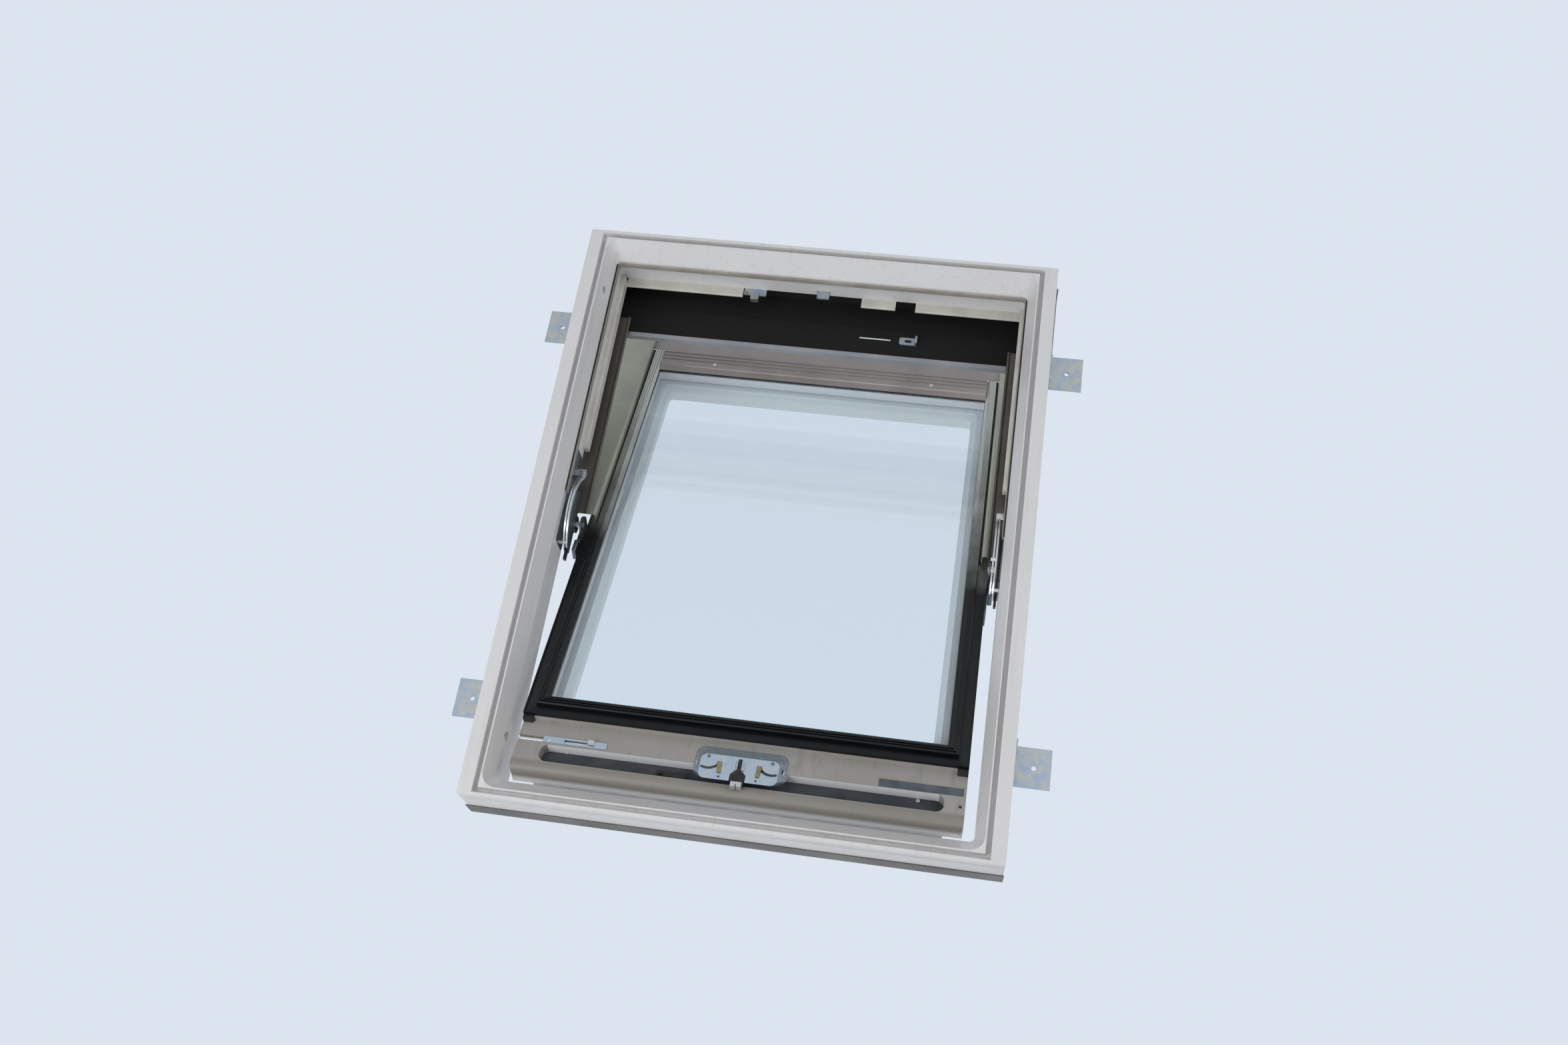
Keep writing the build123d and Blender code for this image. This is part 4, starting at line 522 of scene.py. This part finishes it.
# Glazing profiles: extruded aluminium with drawn ribs. The top one is nearly black. The side ones
# are painted pale towards the lower end of the sash as a painted reflection, and stay dark near its top.
def drawn_profile(name, dark, paler_tone, start, end):
    """A paler tone that grows from start to end along the sash, in millimetres, with a ragged border,
    and die lines drawn 0.9 mm apart, coarser than they are, so that they show. On the side profiles
    the paler tone is a painted reflection."""
    material, tree, shader, place = new_material(name, 0.3, 0.75)
    level = add(tree, "ShaderNodeMapping", {"Vector": place, "Rotation": (-tilt, 0, 0)})
    split = add(tree, "ShaderNodeSeparateXYZ", {0: level.outputs[0]})
    cloud = add(tree, "ShaderNodeTexNoise", {"Vector": place, "Scale": 1 / 60, "Detail": 5.0})
    shift = add(tree, "ShaderNodeMath", {0: cloud.outputs["Fac"], 1: 220.0, 2: split.outputs["Y"]},
                operation="MULTIPLY_ADD")
    along = add(tree, "ShaderNodeMapRange", {"Value": shift.outputs[0], "From Min": start, "From Max": end})
    tone = add(tree, "ShaderNodeMix", {"Factor": along.outputs[0], "A": colour(dark), "B": colour(paler_tone)},
               data_type="RGBA")
    drawn_out = add(tree, "ShaderNodeMapping", {"Vector": level.outputs[0], "Scale": (1, 0.03, 1)})
    lines = add(tree, "ShaderNodeTexNoise", {"Vector": drawn_out.outputs[0], "Scale": 1 / 0.9, "Detail": 3.0})
    varied = add(tree, "ShaderNodeMapRange", {"Value": lines.outputs["Fac"], "From Min": 0.3, "From Max": 0.7,
                                              "To Min": 0.8, "To Max": 1.1})
    ribbed = add(tree, "ShaderNodeVectorMath", {0: tone.outputs["Result"], "Scale": varied.outputs[0]},
                 operation="SCALE")
    shine = add(tree, "ShaderNodeMapRange", {"Value": cloud.outputs["Fac"], "To Min": 0.2, "To Max": 0.45})
    bump = add(tree, "ShaderNodeBump", {"Strength": 0.1, "Distance": 0.0002, "Height": lines.outputs["Fac"]})
    tree.links.new(ribbed.outputs[0], shader.inputs["Base Color"])
    tree.links.new(shine.outputs[0], shader.inputs["Roughness"])
    tree.links.new(bump.outputs[0], shader.inputs["Normal"])
    return material


coat(drawn_profile("anthracite_profile", "#242527", "#35363a", 0, 400), "top_profile")
# The pale lower part of the side profiles is a painted reflection.
coat(drawn_profile("painted_reflection_profile", "#2e2f30", "#c3c5bd", 110, 330), "side_profile_left", "side_profile_right")


# Covers of the sash: the same coated sheet, pale grey-green on the wide side covers, mauve-grey
# with rolled ribs at the bottom. Two pan-head screws hold the bottom one, and a third, made with
# them, holds the plate of the barrel bolt.
coat(coated_sheet("pale_green_cover", "#b9bda9", "#a5aa9d", "#c6c8bc"), "sash_side_cover_left",
     "sash_side_cover_right")
coat(coated_sheet("mauve_cover", "#aea5a1", "#9f9793", "#bab4b0"), "bottom_cover")

in_sash = to_metres @ Matrix.Translation((0, 0, pivot_level)) @ Matrix.Rotation(tilt, 4, "X")
bottom_cover_screws = (196.8, 439.5, 14), (-196.8, 439.5, 14)
bolt_plate_screw = 281, -396.5, 34.5
sash_screw_places = [
    in_sash @ Matrix.Translation(place) @ face_down for place in (*bottom_cover_screws, bolt_plate_screw)
]
make_piece("sash_screw_heads", pan_heads(4, 1.5, sash_screw_places), bright_steel, "sash", "bright_steel",
           "sash_screws")


# Ends of the sash covers, beside the pivots: black nylon caps that close the covers towards the
# hinge, and grey die-cast blocks under them that stiffen the hinge leaf. Both are screwed to the leaf.
def leaf_blocks(low, high):
    """The same rounded block on the leaf of each side; low and high are y and depth on the sash."""
    leaf_middle, thickness = 334.8, 7
    block = bmesh.new()
    bmesh.ops.create_cube(block, size=1)
    bmesh.ops.scale(block, vec=(thickness, high[0] - low[0], high[1] - low[1]), verts=block.verts)
    bmesh.ops.bevel(block, geom=block.edges, offset=1.6, affect="EDGES", segments=3, profile=0.5, material=-1)
    middle = ((low[0] + high[0]) / 2, (low[1] + high[1]) / 2)
    return repeat(block, [in_sash @ Matrix.Translation((x, *middle)) for x in (leaf_middle, -leaf_middle)])


make_piece("cover_ends", leaf_blocks((14.8, 9), (29.4, 33)), black_nylon, "sash", "plastic_black")
make_piece("leaf_blocks", leaf_blocks((-44, 12), (-21, 36)), greased_zinc, "sash", "zinc_steel")


# Ventilation recess: a strip of needled polyester felt at its bottom keeps dust and insects out.
# It is blue-grey and matted from damp, its loose fibres are drawn 1.1 mm wide so that they show, and
# two small screws hold its ends.
filter_felt, felt_tree, felt_shader, felt_place = new_material("filter_felt", 0.95)
matted = add(felt_tree, "ShaderNodeTexNoise", {"Vector": felt_place, "Scale": 1 / 55, "Detail": 4.0})
wide = add(felt_tree, "ShaderNodeMapRange", {"Value": matted.outputs["Fac"], "From Min": 0.35, "From Max": 0.65})
felt_tone = add(felt_tree, "ShaderNodeMix", {"Factor": wide.outputs[0], "A": colour("#33363c"),
                                             "B": colour("#4c5056")}, data_type="RGBA")
fibres = add(felt_tree, "ShaderNodeTexNoise", {"Vector": felt_place, "Scale": 1 / 1.1, "Detail": 8.0,
                                               "Roughness": 0.8, "Distortion": 2.0})
pale = add(felt_tree, "ShaderNodeMapRange", {"Value": fibres.outputs["Fac"], "From Min": 0.52, "From Max": 0.7,
                                             "To Max": 0.5})
fibred = add(felt_tree, "ShaderNodeMix", {"Factor": pale.outputs[0], "A": felt_tone.outputs["Result"],
                                          "B": colour("#7d828a")}, data_type="RGBA")
fluffy = add(felt_tree, "ShaderNodeBump", {"Strength": 0.6, "Distance": 0.0006, "Height": fibres.outputs["Fac"]})
felt_tree.links.new(fibred.outputs["Result"], felt_shader.inputs["Base Color"])
felt_tree.links.new(fluffy.outputs[0], felt_shader.inputs["Normal"])
coat(filter_felt, "vent_filter")
felt_screws = (254.9, -402, 54), (-260.8, -408, 54)
felt_places = [in_sash @ Matrix.Translation(place) @ face_down for place in felt_screws]
make_piece("felt_screws", pan_heads(3, 1.4, felt_places), bright_steel, "sash", "bright_steel")


# Lock: a zinc plated pan riveted to the rail. Brass levers show through its two mirrored arc
# slots, brass slides behind its end slots, and the black nylon latch runs down its middle.
lock_plate = plated_steel("lock_plate", "#b4c6d8", "#c3cbd1", "#7d8586", 0.28)
coat(lock_plate, "lock_case")
coat(black_nylon, "latch")
coat(bright_steel, "latch_jaw")
brass = plated_steel("drawn_brass", "#8f8466", "#a19271", "#5f563e", 0.3)
coat(brass, "lock_lever_left", "lock_lever_right")

lock_middle = -4


def beside_latch(spread, along, depth):
    """The two places on either side of the lock's middle; along and depth are on the sash."""
    return [in_sash @ Matrix.Translation((lock_middle + side * spread, along, depth)) for side in (1, -1)]


rivet_radius = 2.6
rivet = bmesh.new()
bmesh.ops.create_cone(rivet, cap_ends=True, segments=28, radius1=rivet_radius, radius2=rivet_radius, depth=1.2)
crown = [edge for edge in rivet.edges if all(vert.co.z > 0 for vert in edge.verts)]
bmesh.ops.bevel(rivet, geom=crown, offset=0.9, affect="EDGES", segments=5, profile=0.5, material=-1)
rivet_places = [place @ face_down for place in beside_latch(46.5, -397.5, 23.4)]
make_piece("lock_rivets", repeat(rivet, rivet_places), greased_zinc, "sash", "zinc_steel")

slide = bmesh.new()
bmesh.ops.create_cube(slide, size=1)
bmesh.ops.scale(slide, vec=(6, 5, 2), verts=slide.verts)
bmesh.ops.bevel(slide, geom=slide.edges, offset=0.4, affect="EDGES", segments=2, profile=0.5, material=-1)
slide_places = beside_latch(57.5, -406, 30.8)
make_piece("lock_slides", repeat(slide, slide_places), brass, "sash", "brass")

# The two springs of the latch are wound from 0.7 mm steel wire.
wire_radius, coil_radius, pitch, turns, steps = 0.35, 0.95, 1.12, 14, 12
spring = bmesh.new()
wire = bmesh.ops.create_circle(spring, segments=7, radius=wire_radius)["verts"]
bmesh.ops.rotate(spring, matrix=Matrix.Rotation(math.pi / 2, 3, "X"), verts=wire)
bmesh.ops.translate(spring, vec=(coil_radius, 0, 0), verts=wire)
bmesh.ops.spin(spring, geom=[*spring.verts, *spring.edges], cent=(0, 0, 0), axis=(0, 0, 1),
               dvec=(0, 0, pitch / steps), angle=math.tau * turns, steps=turns * steps, use_duplicate=False)
bmesh.ops.holes_fill(spring, edges=[edge for edge in spring.edges if edge.is_boundary], sides=0)
bmesh.ops.recalc_face_normals(spring, faces=spring.faces)
spring_places = [place @ Matrix.Rotation(math.pi / 2, 4, "X") for place in beside_latch(6.5, -400, 22.7)]
make_piece("latch_springs", repeat(spring, spring_places), bright_steel, "sash", "bright_steel", "lock_springs")


# Barrel bolt: a zinc plated plate with a slot, and a drawn steel rod whose square knob slides in it.
# The plate has the lock's blue tint, and the rod is bright.
coat(lock_plate, "bolt_plate")
coat(bright_steel, "barrel_bolt")


# Type plate: bare aluminium foil with a brushed grain along it, glued to the rail and dulled. The
# control bar under the sash and its brackets are satin anodised extrusions with the same grain.
def brushed_aluminium(name, bright, dull):
    """Clouds 30 mm wide, and a brushed grain drawn 0.5 mm across, coarser than it is, so that it shows."""
    material, tree, shader, place = new_material(name, 0.32, 0.85)
    cloud = add(tree, "ShaderNodeTexNoise", {"Vector": place, "Scale": 1 / 30, "Detail": 3.0})
    spread = add(tree, "ShaderNodeMapRange", {"Value": cloud.outputs["Fac"], "From Min": 0.35, "From Max": 0.65})
    tone = add(tree, "ShaderNodeMix", {"Factor": spread.outputs[0], "A": colour(bright), "B": colour(dull)},
               data_type="RGBA")
    drawn_out = add(tree, "ShaderNodeMapping", {"Vector": place, "Scale": (0.03, 1, 1)})
    grain = add(tree, "ShaderNodeTexNoise", {"Vector": drawn_out.outputs[0], "Scale": 1 / 0.5, "Detail": 4.0})
    shine = add(tree, "ShaderNodeMapRange", {"Value": grain.outputs["Fac"], "To Min": 0.32, "To Max": 0.62})
    bump = add(tree, "ShaderNodeBump", {"Strength": 0.15, "Distance": 0.0002, "Height": grain.outputs["Fac"]})
    tree.links.new(tone.outputs["Result"], shader.inputs["Base Color"])
    tree.links.new(shine.outputs[0], shader.inputs["Roughness"])
    tree.links.new(bump.outputs[0], shader.inputs["Normal"])
    return material


coat(brushed_aluminium("plate_foil", "#6b737b", "#585c61"), "type_plate")
coat(brushed_aluminium("satin_anodised", "#c9cbcd", "#b9bbbe"), "bar_brackets", "control_bar")
